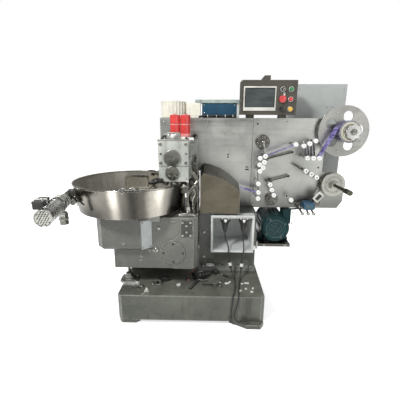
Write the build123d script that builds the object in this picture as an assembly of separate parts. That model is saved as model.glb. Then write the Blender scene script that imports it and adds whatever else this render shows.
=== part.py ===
from build123d import *
from math import cos, sin, tan, radians, degrees, atan2, hypot, pi
import os

# Twist wrapping machine for small sweets, in millimetres, +Z up, front towards -Y.
# Every place below is measured from the centre of the base at floor level.
# The finished pieces are moved so that the origin is the bottom centre of the whole machine.

seat_gap = 0.3

# Base and feet
base_length = 890.0
base_depth = 720.0
base_top = 192.0
base_corner = 23.0
base_edge = 5.0
foot_height = 26.0
foot_length = 124.0
foot_depth = 90.0
foot_inset = 4.0
toe_left = 236.0
toe_tip_left = 338.0
toe_reach = 37.0
toe_depth = 130.0

# Gearbox on the left of the base
gearbox_left = -475.0
gearbox_right = 36.0
gearbox_front = -259.0
gearbox_back = 250.0
gearbox_bottom = 324.0
gearbox_top = 651.0
gearbox_chamfer = 24.0
pedestal_left_inset = 45.0
pedestal_right_inset = 116.0
pedestal_front = -10.0
jack_x = -413.0
jack_y = -166.0
jack_screw = 8.0
jack_flange = 30.0
jack_flange_thick = 10.0
jack_nut = 19.0
jack_nut_thick = 14.0
jack_top_nut_thick = 16.0

# Turntable housing, wrapped round the gearbox's front left corner
turret_front = -307.0
turret_left = -563.0
turret_bottom = 460.0
turret_left_slope = 35.0
turret_right_slope = 59.0
turret_front_right = -295.0
turret_back = 60.0
turret_edge = 13.0

# Gearbox covers: a raised pad, a round cover on a ring, a valve plate and small plugs
pad_thick = 8.0
pad_left = -65.0
pad_curve = 46.0
cover_x = -110.0
cover_z = 429.0
cover_radius = 73.0
cover_ring = 82.0
cover_proud = 4.0
cover_screw_ring = 66.0
cover_screws = 4
screw_radius = 6.5
screw_sink = 6.0
valve_x = -28.0
valve_z = 586.0
valve_width = 65.0
valve_height = 98.0
valve_thick = 5.0
valve_bolt = 4.5
valve_bolt_inset = 9.0
plug_radius = 7.5
plug_proud = 4.0
plug_places = [(-307, 402), (-309, 376), (-210, 444), (-194, 586)]

# Feed pan and its turntable
pan_x = -389.0
pan_y = -84.0
pan_rim_z = 846.0
pan_bottom_z = 682.0
pan_rim_radius = 350.0
pan_bottom_radius = 323.0
pan_wall = 4.0
pan_floor = 6.0
rim_bead = 5.0
bearing_ring = 150.0
disc_radius = 306.0
disc_thick = 14.0
disc_pockets = 36
pocket_length = 34.0
pocket_width = 17.0
pocket_depth = 8.0
cone_radius = 190.0
cone_height = 46.0
cone_tip = 24.0
cone_cap = 22.0

# Window, bracket and brush bar inside the pan
window_x = -432.0
window_z = 768.0
window_width = 174.0
window_height = 100.0
window_corner = 18.0
window_frame = 11.0
window_frame_thick = 7.0
window_panel_thick = 3.0
wall_bracket_left = -343.0
wall_bracket_width = 66.0
wall_bracket_low = 722.0
wall_bracket_thick = 5.0
brush_bar_left = -376.0
brush_bar_length = 78.0
brush_bar_y = 60.0
brush_bar_z = 758.0
brush_bar_size = 12.0
bar_arm_width = 14.0

# Geared brush motor at the left of the pan
brush_cap_x = -640.0
brush_cap_y = -695.0
brush_z = 782.0
brush_turn = 10.3
brush_radius = 41.0
brush_motor_length = 205.0
brush_cap_length = 34.0
brush_cap_rim = 2.0
brush_flange_radius = 45.0
brush_flange_thick = 16.0
brush_gear_length = 120.0
brush_arm_length = 140.0
brush_arm_radius = 26.0
brush_stay_radius = 17.0
brush_stay_x = 40.0
brush_stay_z = -22.0
brush_knob_radius = 25.0
brush_knob_drop = 66.0
brush_knob_height = 62.0
brush_neck = 13.0
brush_clamp_length = 44.0
brush_clamp_width = 60.0
brush_clamp_height = 68.0
brush_box_length = 92.0
brush_box_width = 48.0
brush_box_height = 36.0
gusset_right = -598.0
gusset_point_z = 748.0
gusset_top = 806.0
gusset_bottom = 688.0
gusset_thick = 5.0

# Column, front plate, rear housing and control cabinet
column_left = 40.0
column_right = 425.0
column_front = -20.0
column_back = 290.0
column_foot_reach = 38.0
column_foot_height = 40.0
column_foot_slope = 22.0
plate_front = 130.0
plate_thick = 12.0
plate_left = -229.0
plate_seam = 396.0
seam_gap = 1.6
plate_right = 883.0
plate_ear_reach = 163.0
plate_top = 1228.0
plate_bottom = 611.0
plate_ear_height = 261.0
plate_ear_corner = 33.0
plate_ear_side = 53.0
ear_round = 93.0
pan_notch_right = 42.0
pan_notch_top = 872.0
housing_inset = 10.0
housing_right_inset = 17.0
housing_cover_inset = 36.0
housing_cover_thick = 3.0
cabinet_left = 708.0
cabinet_right = 1059.0
cabinet_bottom = 650.0
cabinet_top = 1458.0
cabinet_depth = 250.0
cabinet_edge = 6.0
door_inset = 22.0
door_thick = 3.0
door_handle_length = 110.0
door_handle_width = 22.0
door_handle_thick = 14.0

# Wrapping head over the right of the pan
head_front = -193.0
head_left = -197.0
head_right = -19.0
head_bottom = 856.0
head_height = 242.0
head_top = head_bottom + head_height
head_lower_height = 93.0
head_split = head_bottom + head_lower_height
head_split_gap = 3.0
head_plate = 18.0
head_step = 10.0
head_bolt = 6.0
head_bolt_proud = 4.0
head_bolt_inset = 15.0
head_bolt_drop = 22.0
head_bolt_pitch = 54.0
head_disc_x = -115.0
head_disc_rise = 48.0
head_disc_z = head_split + head_disc_rise
head_disc_radius = 48.5
head_low_disc_radius = 41.0
head_low_disc_z = head_split - head_low_disc_radius
head_disc_proud = 8.0
head_layer_pitch = 26.0
head_layer_thick = 16.0
head_layer_step = 9.0
head_layers = 4
head_ear_reach = 46.0
head_ear_y = 10.0
head_ear_height = 32.0
cup_radius = 31.0
cup_space = 2.0
cup_x = -108.0
cup_y = -60.0
cup_height = 128.0
cup_band = 4.0
cup_band_height = 78.0
cup_seat_height = 14.0
cup_seat_margin = 30.0

# Guard over the folding wheel, below and to the right of the head
guard_left = 47.0
guard_right = 300.0
guard_front = -90.0
guard_bottom = 628.0
guard_front_top = 888.0
guard_back_top = 926.0
guard_shoulder_front = 770.0
guard_shoulder_back = 782.0
guard_back_right = 313.0
guard_roof_share = 1 / 11
guard_lip_share = 1 / 12
guard_arc_run = 0.66
guard_arc_drop = 0.42

# Linkage between the gearbox and the head, with rods as x, y and radius, and nut heights in radii
linkage_left = -30.0
linkage_front = -16.0
linkage_clear = 8.0
rod_top_drop = 6.0
rod_places = [(-8, -40, 6), (12, -46, 5), (30, -38, 7)]
rod_nut = 2.0
rod_low_nut = (5.0, 10.0)
rod_high_nut = (12.0, 8.0)

# Open socket box in front of the column
socket_left = 119.0
socket_right = 403.0
socket_bottom = 357.0
socket_top = 614.0
socket_front = -85.0
socket_wall = 14.0
socket_deep = 175.0
socket_back_wall = 6.0
liner_step = 2.0
socket_y = -50.0
socket_a_x = 214.0
socket_b_x = 335.0
socket_flange = 33.0
socket_flange_thick = 10.0
socket_neck = 13.0
socket_length = 82.0
socket_stub = 9.0
socket_stub_length = 16.0

# Main motor on its bracket, right of the column
motor_x = 567.0
motor_z = 487.0
motor_front = 22.0
motor_radius = 97.0
motor_length = 300.0
motor_end_ring = 22.0
motor_foot_x = 84.0
motor_foot_width = 48.0
motor_web_width = 24.0
cowl_length = 62.0
cowl_edge = 16.0
cowl_dish = 64.0
cowl_dish_depth = 5.0
motor_fins = 20
fin_height = 9.0
fin_thick = 4.0
fin_tip_inset = 1.0
terminal_inset = 60.0
terminal_reach = 117.0
terminal_low = 15.0
terminal_clear = 6.0
terminal_front = 10.0
terminal_length = 96.0
bracket_top = 375.0
bracket_thick = 20.0
bracket_right = 676.0
bracket_front = 26.0
bracket_back = 270.0
bracket_side = 12.0
bracket_side_height = 90.0

# Operator panel on top of the plate
panel_left = 303.0
panel_lift = 20.0
panel_bottom = plate_top + panel_lift
panel_width = 354.0
panel_height = 211.0
panel_front = 76.0
panel_depth = 100.0
panel_edge = 6.0
bezel_left_inset = 15.0
bezel_top_inset = 38.0
bezel_width = 206.0
bezel_height = 149.0
bezel_proud = 4.0
glass_side_inset = 10.0
glass_top_inset = 12.0
glass_bottom_inset = 22.0
button_ring = 16.0
button_head = 12.0
button_mushroom = 21.0
button_proud = 16.0
button_right_inset = 40.0
button_pitch_x = 52.0
button_top_inset = 56.0
button_pitch_z = 60.0
lamp_left_inset = 124.0
lamp_width = 62.0
lamp_slope = 24.0
lamp_height = 30.0
panel_foot_width = 52.0
panel_foot_inset = 44.0

# Drum, case and supply box behind the plate's top edge
drum_x = -146.0
drum_y = 236.0
drum_radius = 87.0
drum_height = 104.0
drum_ribs = 24
drum_rib_radius = 6.0
case_gap = 4.0
supply_left = 52.0
supply_right = 288.0
supply_front = 188.0
supply_depth = 110.0
supply_height = 97.0
lid_left_reach = 46.0
lid_right_reach = 18.0
lid_front_reach = 8.0
lid_back_reach = 6.0
lid_thick = 22.0

# Guide rollers, as places right of the plate's seam and above its bottom edge
roller_radius = 7.0
roller_cap = 14.0
roller_cap_length = 14.0
roller_collar = 11.0
roller_collar_length = 10.0
roller_reach = 140.0
left_rollers = [(68, 378), (35, 365), (63, 341), (33, 324), (57, 304), (38, 281)]
low_rollers = [(32, 198), (35, 140), (34, 98), (109, 193), (123, 157), (138, 122), (254, 90)]
top_rollers = [(256, 454), (307, 445), (343, 459), (379, 477)]
row_rollers = [(337, 368), (375, 368), (413, 368)]
roller_bar_left = 274.0
roller_bar_left_up = 321.0
roller_bar_right = 454.0
roller_bar_right_up = 215.0
roller_bar_width = 16.0
roller_bar_thick = 14.0
bar_roller_shares = [0.34, 0.54, 0.74]
bosses = [(67, 461, 48), (150, 67, 44)]
boss_thick = 12.0
boss_nose = 26.0
boss_nose_share = 0.45

# Web sensor at the plate's lower edge
sensor_left = 352.0
sensor_up = 17.0
sensor_arm_length = 150.0
sensor_arm_height = 16.0
sensor_body_width = 70.0
sensor_body_height = 46.0
sensor_front = 20.0
sensor_back = 90.0
sensor_fork_width = 40.0
sensor_fork_height = 62.0

# Film reels
reel_reach = 99.0
reel_drop = 83.0
reel_radius = 165.0
reel_back = 92.0
reel_thick = 8.0
reel_holes = 5
reel_hole_radius = 33.0
reel_hole_ring = 98.0
reel_hole_turn = 6.0
roll_radius = 84.0
roll_width = 96.0
core_radius = 58.0
core_proud = 5.0
knob_radius = 48.0
knob_lobes = 8
knob_lobe = 0.22
knob_front = -54.0
knob_thick = 30.0
knob_neck = 26.0
spindle_radius = 12.0
spindle_clear = 0.05
spindle_seat = 4.0
arm_width = 90.0
arm_thick = 14.0
low_reel_reach = 70.0
low_reel_up = 178.0
low_hub_radius = 80.0
low_hub_back = 84.0
low_hub_thick = 22.0
low_block = 44.0
low_block_thick = 30.0
low_spindle_tip = -170.0
low_spindle_radius = 11.0
low_grip_length = 70.0
low_grip_extra = 5.0
bearing_radius = 30.0
low_bearing_radius = 44.0

# Tension levers with ball knobs
lever_y = 100.0
lever_thick = 6.0
lever_width = 10.0
lever_rise = 15.0
lever_ball = 9.0
lever_boss = 12.0
lever_upper_x = 492.0
lever_upper_z = 960.0
lever_upper_reach = 175.0
lever_lower_x = 530.0
lever_lower_z = 812.0
lever_lower_reach = 122.0
lever_pin_radius = 5.0
lever_pin_proud = 8.0

# Two leads from the sockets, over the front of the base, with a connector and a plug each
lead_radius = 4.0
lead_clear = 0.3
lead_bend_share = 0.45
connector_radius = 10.0
connector_length = 56.0
connector_body_share = 0.8
connector_neck = 7.5
lead_plug_radius = 9.0
lead_plug_length = 38.0
lead_start_z = 488.0
lead_drop = 44.0
base_front = -base_depth / 2
left_lead_points = [
    (socket_a_x, socket_y, lead_start_z), (socket_a_x, socket_y, lead_start_z - lead_drop),
    (240, -92, 400), (236, -102, 340), (262, -112, base_top + 34),
    (276, -150, base_top + 8), (280, -216, base_top + 4.5), (267, base_front + 60, base_top + 6),
    (254, base_front + 6, base_top + 11), (251, base_front - 11.5, base_top - 6.5),
    (246, base_front - 11, base_top - 54), (243, base_front - 13, 92), (242, base_front - 14, 66),
]
right_lead_points = [
    (socket_b_x, socket_y, lead_start_z), (socket_b_x, socket_y, lead_start_z - lead_drop),
    (341, -96, 396), (331, -106, 336), (320, -126, base_top + 36),
    (313, -160, base_top + 8), (302, -226, base_top + 4.5), (292, base_front + 60, base_top + 6),
    (287, base_front + 6, base_top + 11), (285, base_front - 11.5, base_top - 6.5),
    (278, base_front - 11, base_top - 54), (266, base_front - 13, 92), (262, base_front - 18, 62),
    (278, base_front - 24, 38.5), (305, base_front - 25, 37.5),
]
left_connector_run = 3
right_connector_run = 3


def block(xs, ys, zs):
    """Box between two corners given as (low, high) pairs."""
    size = (xs[1] - xs[0], ys[1] - ys[0], zs[1] - zs[0])
    centre = ((xs[0] + xs[1]) / 2, (ys[0] + ys[1]) / 2, (zs[0] + zs[1]) / 2)
    return Pos(*centre) * Box(*size)


def rod_y(radius, x, z, front, back):
    """Round bar along Y, from its front end to its back end."""
    bar = Cylinder(radius, back - front)
    return Pos(x, (front + back) / 2, z) * Rot(90, 0, 0) * bar


def rod_z(radius, x, y, low, high):
    """Upright round bar."""
    return Pos(x, y, (low + high) / 2) * Cylinder(radius, high - low)


def front_prism(face, front, back):
    """Body with a flat outline drawn in X and Z, between two depths."""
    return Pos(0, back, 0) * Rot(90, 0, 0) * extrude(face, back - front)


def front_outline(points, front, back):
    """Plate with the given corners in X and Z, between two depths."""
    wire = Polyline([(x, z) for x, z in points], close=True)
    return front_prism(make_face(wire), front, back)


def base_plinth():
    half_length = base_length / 2
    half_depth = base_depth / 2
    body = block((-half_length, half_length), (-half_depth, half_depth), (foot_height, base_top))
    body = chamfer(body.edges().filter_by(Axis.Z), base_corner)
    return fillet(body.faces().sort_by(Axis.Z)[-1].edges(), base_edge)


def base_feet():
    feet = []
    x = base_length / 2 - foot_inset - foot_length / 2
    y = base_depth / 2 - foot_inset - foot_depth / 2
    for side, end in ((-1, -1), (-1, 1), (1, 1)):
        foot = Pos(side * x, end * y, foot_height / 2) * Box(foot_length, foot_depth, foot_height)
        feet.append(chamfer(foot.edges().filter_by(Axis.Z), base_corner - foot_inset))
    right = base_length / 2 - foot_inset
    toe = [
        (toe_left, base_front + base_corner),
        (toe_tip_left, base_front - toe_reach),
        (right - base_corner, base_front - toe_reach),
        (right, base_front),
        (right, base_front + toe_depth),
        (toe_left, base_front + toe_depth),
    ]
    feet.append(extrude(make_face(Polyline(toe, close=True)), foot_height))
    return feet


def gearbox_body():
    body = block((gearbox_left, gearbox_right), (gearbox_front, gearbox_back), (gearbox_bottom, gearbox_top))
    return chamfer(body.edges().filter_by(Axis.Z).sort_by(Axis.Y)[:2].sort_by(Axis.X)[-1], gearbox_chamfer)


def gearbox_pedestal():
    left = gearbox_left + pedestal_left_inset
    right = gearbox_right - pedestal_right_inset
    return block((left, right), (pedestal_front, gearbox_back), (base_top, gearbox_bottom))


def turntable_housing():
    outline = [
        (turret_left + turret_left_slope, turret_front),
        (turret_front_right, turret_front),
        (turret_front_right + turret_right_slope, gearbox_front),
        (gearbox_left, gearbox_front),
        (gearbox_left, turret_back),
        (turret_left, turret_back),
        (turret_left, turret_front + turret_left_slope),
    ]
    face = make_face(Polyline(outline, close=True))
    body = Pos(0, 0, turret_bottom) * extrude(face, gearbox_top - turret_bottom)
    lower_edges = body.faces().sort_by(Axis.Z)[0].edges().sort_by(Axis.Y)[:3]
    return chamfer(lower_edges, turret_edge)


def gearbox_pad():
    """Raised pad at the right of the gearbox's front, joined to the round cover's ring."""
    right = gearbox_right - gearbox_chamfer
    ring_top = cover_z + cover_ring
    edge = FilletPolyline(
        (cover_x, gearbox_bottom), (cover_x, ring_top), (pad_left, ring_top + pad_curve), (pad_left, gearbox_top),
        radius=[0, pad_curve],
    )
    face = make_face([*edge.edges(), *Polyline((pad_left, gearbox_top), (right, gearbox_top),
                                               (right, gearbox_bottom), (cover_x, gearbox_bottom)).edges()])
    front = gearbox_front - pad_thick
    return front_prism(face, front, gearbox_front) + rod_y(cover_ring, cover_x, cover_z, front, gearbox_front)


def gearbox_covers():
    """The pad, the round cover with sunk screws, and small plugs left of it."""
    seat = gearbox_front - pad_thick
    front = seat - cover_proud
    cover = gearbox_pad() + rod_y(cover_radius, cover_x, cover_z, front, gearbox_front)
    for k in range(cover_screws):
        angle = radians(360 / cover_screws * k)
        x = cover_x + (cover_screw_ring - screw_radius) * cos(angle)
        z = cover_z + (cover_screw_ring - screw_radius) * sin(angle)
        cover -= rod_y(screw_radius, x, z, front - seat_gap, front + screw_sink)
    plugs = []
    for x, z in plug_places:
        plugs.append(rod_y(plug_radius, x, z, gearbox_front - plug_proud, gearbox_front))
    return [cover] + plugs


def valve_plate():
    """Dark plate with bolts on the pad, over the valve in the gearbox's corner."""
    seat = gearbox_front - pad_thick
    front = seat - valve_thick
    half_width = valve_width / 2
    half_height = valve_height / 2
    plate = block(
        (valve_x - half_width, valve_x + half_width),
        (front, seat),
        (valve_z - half_height, valve_z + half_height),
    )
    reach_x = half_width - valve_bolt_inset
    reach_z = half_height - valve_bolt_inset
    places = [(side * reach_x, end * reach_z) for side in (-1, 1) for end in (-1, 1)]
    places += [(0, reach_z / 2), (0, -reach_z / 2)]
    for x, z in places:
        plate += rod_y(valve_bolt, valve_x + x, valve_z + z, front - head_bolt_proud, front)
    return plate


def support_jack():
    flange_top = base_top + jack_flange_thick
    screw = rod_z(jack_screw, jack_x, jack_y, base_top, gearbox_bottom)
    screw += rod_z(jack_flange, jack_x, jack_y, base_top, flange_top)
    screw += rod_z(jack_nut, jack_x, jack_y, flange_top, flange_top + jack_nut_thick)
    screw += rod_z(jack_nut, jack_x, jack_y, gearbox_bottom - jack_top_nut_thick, gearbox_bottom)
    return screw


def pan_bearing():
    return rod_z(bearing_ring, pan_x, pan_y, gearbox_top, pan_bottom_z)


def feed_pan():
    """Tapered sheet pan with a rolled rim."""
    profile = [
        (0, pan_bottom_z),
        (pan_bottom_radius, pan_bottom_z),
        (pan_rim_radius, pan_rim_z),
        (pan_rim_radius - pan_wall, pan_rim_z),
        (pan_bottom_radius - pan_wall, pan_bottom_z + pan_floor),
        (0, pan_bottom_z + pan_floor),
    ]
    face = make_face(Polyline([(r, 0, z) for r, z in profile], close=True))
    shell = revolve(face, Axis.Z)
    bead = Pos(pan_rim_radius - pan_wall / 2, 0, pan_rim_z) * Rot(90, 0, 0) * Circle(rim_bead)
    shell += revolve(bead, Axis.Z)
    return Pos(pan_x, pan_y, 0) * shell


def wall_band(inner, thick):
    """Sloped ring that follows the pan's wall, inside it or outside it, seat_gap clear."""
    if inner:
        low_z = pan_bottom_z + pan_floor
        low = pan_bottom_radius - pan_wall - seat_gap - thick
        high = pan_rim_radius - pan_wall - seat_gap - thick
    else:
        low_z = pan_bottom_z
        low = pan_bottom_radius + seat_gap
        high = pan_rim_radius + seat_gap
    points = [(low, low_z), (low + thick, low_z), (high + thick, pan_rim_z), (high, pan_rim_z)]
    face = make_face(Polyline([(r, 0, z) for r, z in points], close=True))
    return Pos(pan_x, pan_y, 0) * revolve(face, Axis.Z)


def pan_fittings():
    """Framed window on the pan's back wall, the bracket beside it and the brush bar."""
    back_low = pan_y + pan_bottom_radius / 2
    back_high = pan_y + pan_rim_radius + gusset_thick
    outer = Pos(window_x, window_z) * RectangleRounded(window_width, window_height, window_corner)
    inner_width = window_width - 2 * window_frame
    inner_height = window_height - 2 * window_frame
    inner_corner = window_corner - window_frame / 2
    inner = Pos(window_x, window_z) * RectangleRounded(inner_width, inner_height, inner_corner)
    frame = front_prism(outer - inner, back_low, back_high) & wall_band(True, window_frame_thick)
    panel = front_prism(inner, back_low, back_high) & wall_band(True, window_panel_thick)
    right = wall_bracket_left + wall_bracket_width
    bracket_space = block((wall_bracket_left, right), (back_low, back_high),
                          (wall_bracket_low, pan_rim_z - rim_bead))
    bracket = bracket_space & wall_band(True, wall_bracket_thick)
    half = brush_bar_size / 2
    bar_right = brush_bar_left + brush_bar_length
    bar = block((brush_bar_left, bar_right), (brush_bar_y - half, brush_bar_y + half),
                (brush_bar_z - half, brush_bar_z + half))
    wall_y = pan_y + pan_bottom_radius - pan_wall - wall_bracket_thick
    arm = block((bar_right - bar_arm_width, bar_right), (brush_bar_y, wall_y),
                (brush_bar_z - half, brush_bar_z + half))
    return [frame, panel, bracket + bar + arm]


def pan_disc():
    """Turntable disc with pockets round its edge and a low cone in the middle."""
    low = pan_bottom_z + pan_floor + seat_gap
    top = low + disc_thick
    disc = rod_z(disc_radius, 0, 0, low, top)
    pocket_ring = disc_radius - pocket_length / 2
    for k in range(disc_pockets):
        angle = 360 / disc_pockets * k
        pocket = Box(pocket_length, pocket_width, 2 * pocket_depth)
        disc -= Rot(0, 0, angle) * Pos(pocket_ring, 0, top) * pocket
    disc += Pos(0, 0, top + cone_height / 2) * Cone(cone_radius, cone_tip, cone_height)
    disc += rod_z(cone_tip, 0, 0, top, top + cone_height + cone_cap)
    return Pos(pan_x, pan_y, 0) * disc


def brush_place(along):
    """Place on the brush motor's axis, a distance behind the end cap."""
    turn = radians(brush_turn)
    x = brush_cap_x - along * sin(turn)
    y = brush_cap_y + along * cos(turn)
    return Pos(x, y, brush_z) * Rot(0, 0, brush_turn)


def brush_motor():
    """Motor barrel with a wider end cap and a terminal box at its upper left."""
    motor = rod_y(brush_radius - brush_cap_rim, 0, 0, 0, brush_motor_length)
    motor += rod_y(brush_radius, 0, 0, 0, brush_cap_length)
    box_left = -brush_radius - brush_box_width / 2
    box_low = brush_radius - brush_box_height / 2
    box_front = brush_cap_length + brush_box_height
    motor += block((box_left, box_left + brush_box_width), (box_front, box_front + brush_box_length),
                   (box_low, box_low + brush_box_height))
    return brush_place(0) * motor


def brush_gearbox():
    """Gear case with a flange, and a six-sided knob hanging on a neck."""
    start = brush_motor_length
    end = start + brush_gear_length
    case = rod_y(brush_flange_radius, 0, 0, start, start + brush_flange_thick)
    case += rod_y(brush_radius - brush_cap_rim, 0, 0, start + brush_flange_thick, end)
    knob_y = end - brush_knob_radius
    knob_top = -brush_knob_drop
    knob = extrude(RegularPolygon(brush_knob_radius, 6), brush_knob_height)
    case += Pos(0, knob_y, knob_top - brush_knob_height) * knob
    case += rod_z(brush_neck, 0, knob_y, knob_top, 0)
    return brush_place(0) * case


def brush_arm():
    """Round arm and a stay beside it, clamped to the pan, with a gusset on the pan's wall."""
    start = brush_motor_length + brush_gear_length
    end = start + brush_arm_length
    arm = rod_y(brush_arm_radius, 0, 0, start, end)
    arm += rod_y(brush_stay_radius, brush_stay_x, brush_stay_z, start + 2 * brush_stay_radius, end)
    half_clamp = brush_clamp_height / 2
    arm += block((0, brush_clamp_width), (end - brush_clamp_length, end), (-half_clamp, half_clamp))
    slope = (pan_rim_radius - pan_bottom_radius) / (pan_rim_z - pan_bottom_z)
    margin = pan_rim_z - pan_bottom_z
    wide_low = pan_bottom_radius - slope * margin + seat_gap
    wide_high = pan_rim_radius + slope * margin + seat_gap
    middle_z = (pan_rim_z + pan_bottom_z) / 2
    keep_out = Pos(pan_x, pan_y, middle_z) * Cone(wide_low, wide_high, 3 * margin)
    outline = [(pan_x - pan_rim_radius, gusset_top), (gusset_right, gusset_point_z),
               (pan_x - pan_rim_radius, gusset_bottom)]
    gusset = front_outline(outline, pan_y - pan_rim_radius, pan_y) & wall_band(False, gusset_thick)
    return (brush_place(0) * arm - keep_out) + gusset


def liner_bounds(step):
    """Space of the socket box behind the column's front, grown outwards by step."""
    xs = (socket_left + liner_step - step, socket_right - liner_step + step)
    zs = (socket_bottom + liner_step - step, plate_bottom - liner_step - socket_wall / 2 + step)
    return xs, zs


def column():
    body = block((column_left, column_right), (column_front, column_back), (base_top, plate_bottom))
    xs, zs = liner_bounds(seat_gap)
    body -= block(xs, (column_front, socket_deep + seat_gap), zs)
    foot_front = column_front - column_foot_reach
    foot = block((column_left, column_right), (foot_front, column_front),
                 (base_top, base_top + column_foot_height))
    ridge = foot.edges().filter_by(Axis.X).group_by(Axis.Y)[0].sort_by(Axis.Z)[-1]
    return body + chamfer(ridge, column_foot_slope)


def plate_outline():
    """Outline of the whole front plate, seen from the front."""
    ear_right = plate_right + plate_ear_reach
    ear_top = plate_bottom + plate_ear_height
    points = [
        (plate_left, plate_top),
        (plate_right, plate_top),
        (plate_right, ear_top),
        (ear_right, ear_top),
        (ear_right, plate_bottom + plate_ear_side),
        (ear_right - plate_ear_corner, plate_bottom),
        (pan_notch_right, plate_bottom),
        (pan_notch_right, pan_notch_top),
        (plate_left, pan_notch_top),
    ]
    return make_face(FilletPolyline(points, radius=[0, 0, 0, ear_round, 0, 0, 0, 0, 0], close=True))


def front_plate():
    return front_prism(plate_outline(), plate_front, plate_front + plate_thick)


def main_plate_left():
    whole_plate = front_plate()
    return whole_plate - seam_side(1, whole_plate)


def main_plate_right():
    whole_plate = front_plate()
    return whole_plate - seam_side(-1, whole_plate)


def seam_side(side, plate):
    """Everything of the plate on one side of the seam, the seam's half gap included."""
    box = plate.bounding_box()
    edge = plate_seam - side * seam_gap / 2
    far = box.max.X + seat_gap if side > 0 else box.min.X - seat_gap
    xs = (min(edge, far), max(edge, far))
    return block(xs, (box.min.Y - seat_gap, box.max.Y + seat_gap),
                 (box.min.Z - seat_gap, box.max.Z + seat_gap))


def rear_housing():
    """Box behind the front plate, with a raised service cover on its back."""
    front = plate_front + plate_thick
    right = plate_right - housing_right_inset
    top = plate_top - housing_inset
    left = plate_left + housing_inset
    body = block((pan_notch_right, right), (front, column_back), (plate_bottom, top))
    body += block((left, right), (front, column_back), (pan_notch_top + housing_inset, top))
    cover_low = pan_notch_top + housing_inset + housing_cover_inset
    cover_right = cabinet_left - housing_cover_inset
    body += block((left + housing_cover_inset, cover_right), (column_back, column_back + housing_cover_thick),
                  (cover_low, top - housing_cover_inset))
    return body


def control_cabinet():
    """Upright cabinet behind the plate, with a door and its handle at the back."""
    front = column_back
    back = front + cabinet_depth
    body = block((cabinet_left, cabinet_right), (front, back), (cabinet_bottom, cabinet_top))
    body = fillet(body.edges().filter_by(Axis.Z), cabinet_edge)
    door_xs = (cabinet_left + door_inset, cabinet_right - door_inset)
    door_zs = (cabinet_bottom + door_inset, cabinet_top - door_inset)
    body += block(door_xs, (back, back + door_thick), door_zs)
    handle_left = door_xs[0] + door_inset
    handle_low = (cabinet_bottom + cabinet_top - door_handle_length) / 2
    body += block((handle_left, handle_left + door_handle_width),
                  (back, back + door_thick + door_handle_thick),
                  (handle_low, handle_low + door_handle_length))
    return body


def head_plates():
    upper = block((head_left, head_right), (head_front, head_front + head_plate), (head_split, head_top))
    lower = block((head_left + head_split_gap, head_right), (head_front, head_front + head_plate),
                  (head_bottom, head_split - head_split_gap))
    for x in (head_left + head_bolt_inset, head_right - head_bolt_inset):
        for row in (0, 1, 2):
            z = head_top - head_bolt_drop - row * head_bolt_pitch
            upper += rod_y(head_bolt, x, z, head_front - head_bolt_proud, head_front)
    return [upper, lower]


def head_discs():
    front = head_front - head_disc_proud
    upper = rod_y(head_disc_radius, head_disc_x, head_disc_z, front, head_front)
    lower = rod_y(head_low_disc_radius, head_disc_x, head_low_disc_z, front, head_front)
    cut = rod_y(head_disc_radius + seat_gap, head_disc_x, head_disc_z,
                front - seat_gap, head_front + seat_gap)
    return [upper, lower - cut]


def head_block():
    """Stack of side plates behind the head's front plate, each a little wider than the last."""
    left = head_left + head_step
    front = head_front + head_plate
    right = head_right - head_step
    low = head_bottom + head_step
    body = block((left, right), (front, plate_front), (low + head_step / 2, head_top))
    for k in range(head_layers):
        y = front + head_step / 2 + k * head_layer_pitch
        step = (k + 1) * head_layer_step
        body += block((left, right + step), (y, y + head_layer_thick), (low, head_top))
    ear_right = head_right + head_ear_reach
    body += block((left, ear_right), (head_ear_y, head_ear_y + head_layer_thick),
                  (low, head_top + head_ear_height))
    return body


def red_cups():
    """Two red oil cups side by side, each with a groove round it."""
    bottom = head_top + cup_seat_height
    band_low = bottom + cup_band_height
    cups = []
    for k in (0, 1):
        x = cup_x + k * (2 * cup_radius + cup_space)
        cup = rod_z(cup_radius, x, cup_y, bottom, bottom + cup_height)
        groove = rod_z(cup_radius + cup_space, x, cup_y, band_low, band_low + cup_band)
        groove -= rod_z(cup_radius - cup_space, x, cup_y, band_low, band_low + cup_band)
        cups.append(cup - groove)
    return cups


def cup_bracket():
    left = cup_x - cup_radius - cup_seat_margin
    right = cup_x + 3 * cup_radius + 2 * cup_space
    depth = cup_radius + cup_space
    return block((left, right), (cup_y - depth, cup_y + depth), (head_top, head_top + cup_seat_height))


def guard_profile(depth, top, shoulder, right):
    """Outline of the wheel guard at one depth: straight left side, round upper right."""
    left = guard_left
    width = right - left
    roof = (left + width * guard_roof_share, top)
    mid = (left + width * guard_arc_run, top - (top - shoulder) * guard_arc_drop)
    lip = top - width * guard_lip_share
    edges = [
        Line((left, guard_bottom), (right, guard_bottom)),
        Line((right, guard_bottom), (right, shoulder)),
        ThreePointArc((right, shoulder), mid, roof),
        Line(roof, (left, lip)),
        Line((left, lip), (left, guard_bottom)),
    ]
    return Pos(0, depth, 0) * Rot(90, 0, 0) * make_face(edges)


def wheel_guard():
    front = guard_profile(guard_front, guard_front_top, guard_shoulder_front, guard_right)
    back = guard_profile(plate_front, guard_back_top, guard_shoulder_back, guard_back_right)
    return loft([front, back])


def linkage_frame():
    return block((linkage_left, guard_left - linkage_clear), (linkage_front, plate_front),
                 (gearbox_top, head_bottom + head_step))


def linkage_rods():
    """Upright rods with nuts and collars in front of the linkage frame."""
    top = head_bottom - rod_top_drop
    rods = []
    for x, y, r in rod_places:
        rod = rod_z(r, x, y, gearbox_top, top)
        rod += rod_z(rod_nut * r, x, y, gearbox_top + rod_low_nut[0] * r, gearbox_top + rod_low_nut[1] * r)
        rod += rod_z(rod_nut * r, x, y, top - rod_high_nut[0] * r, top - rod_high_nut[1] * r)
        rods.append(rod)
    return rods


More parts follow.
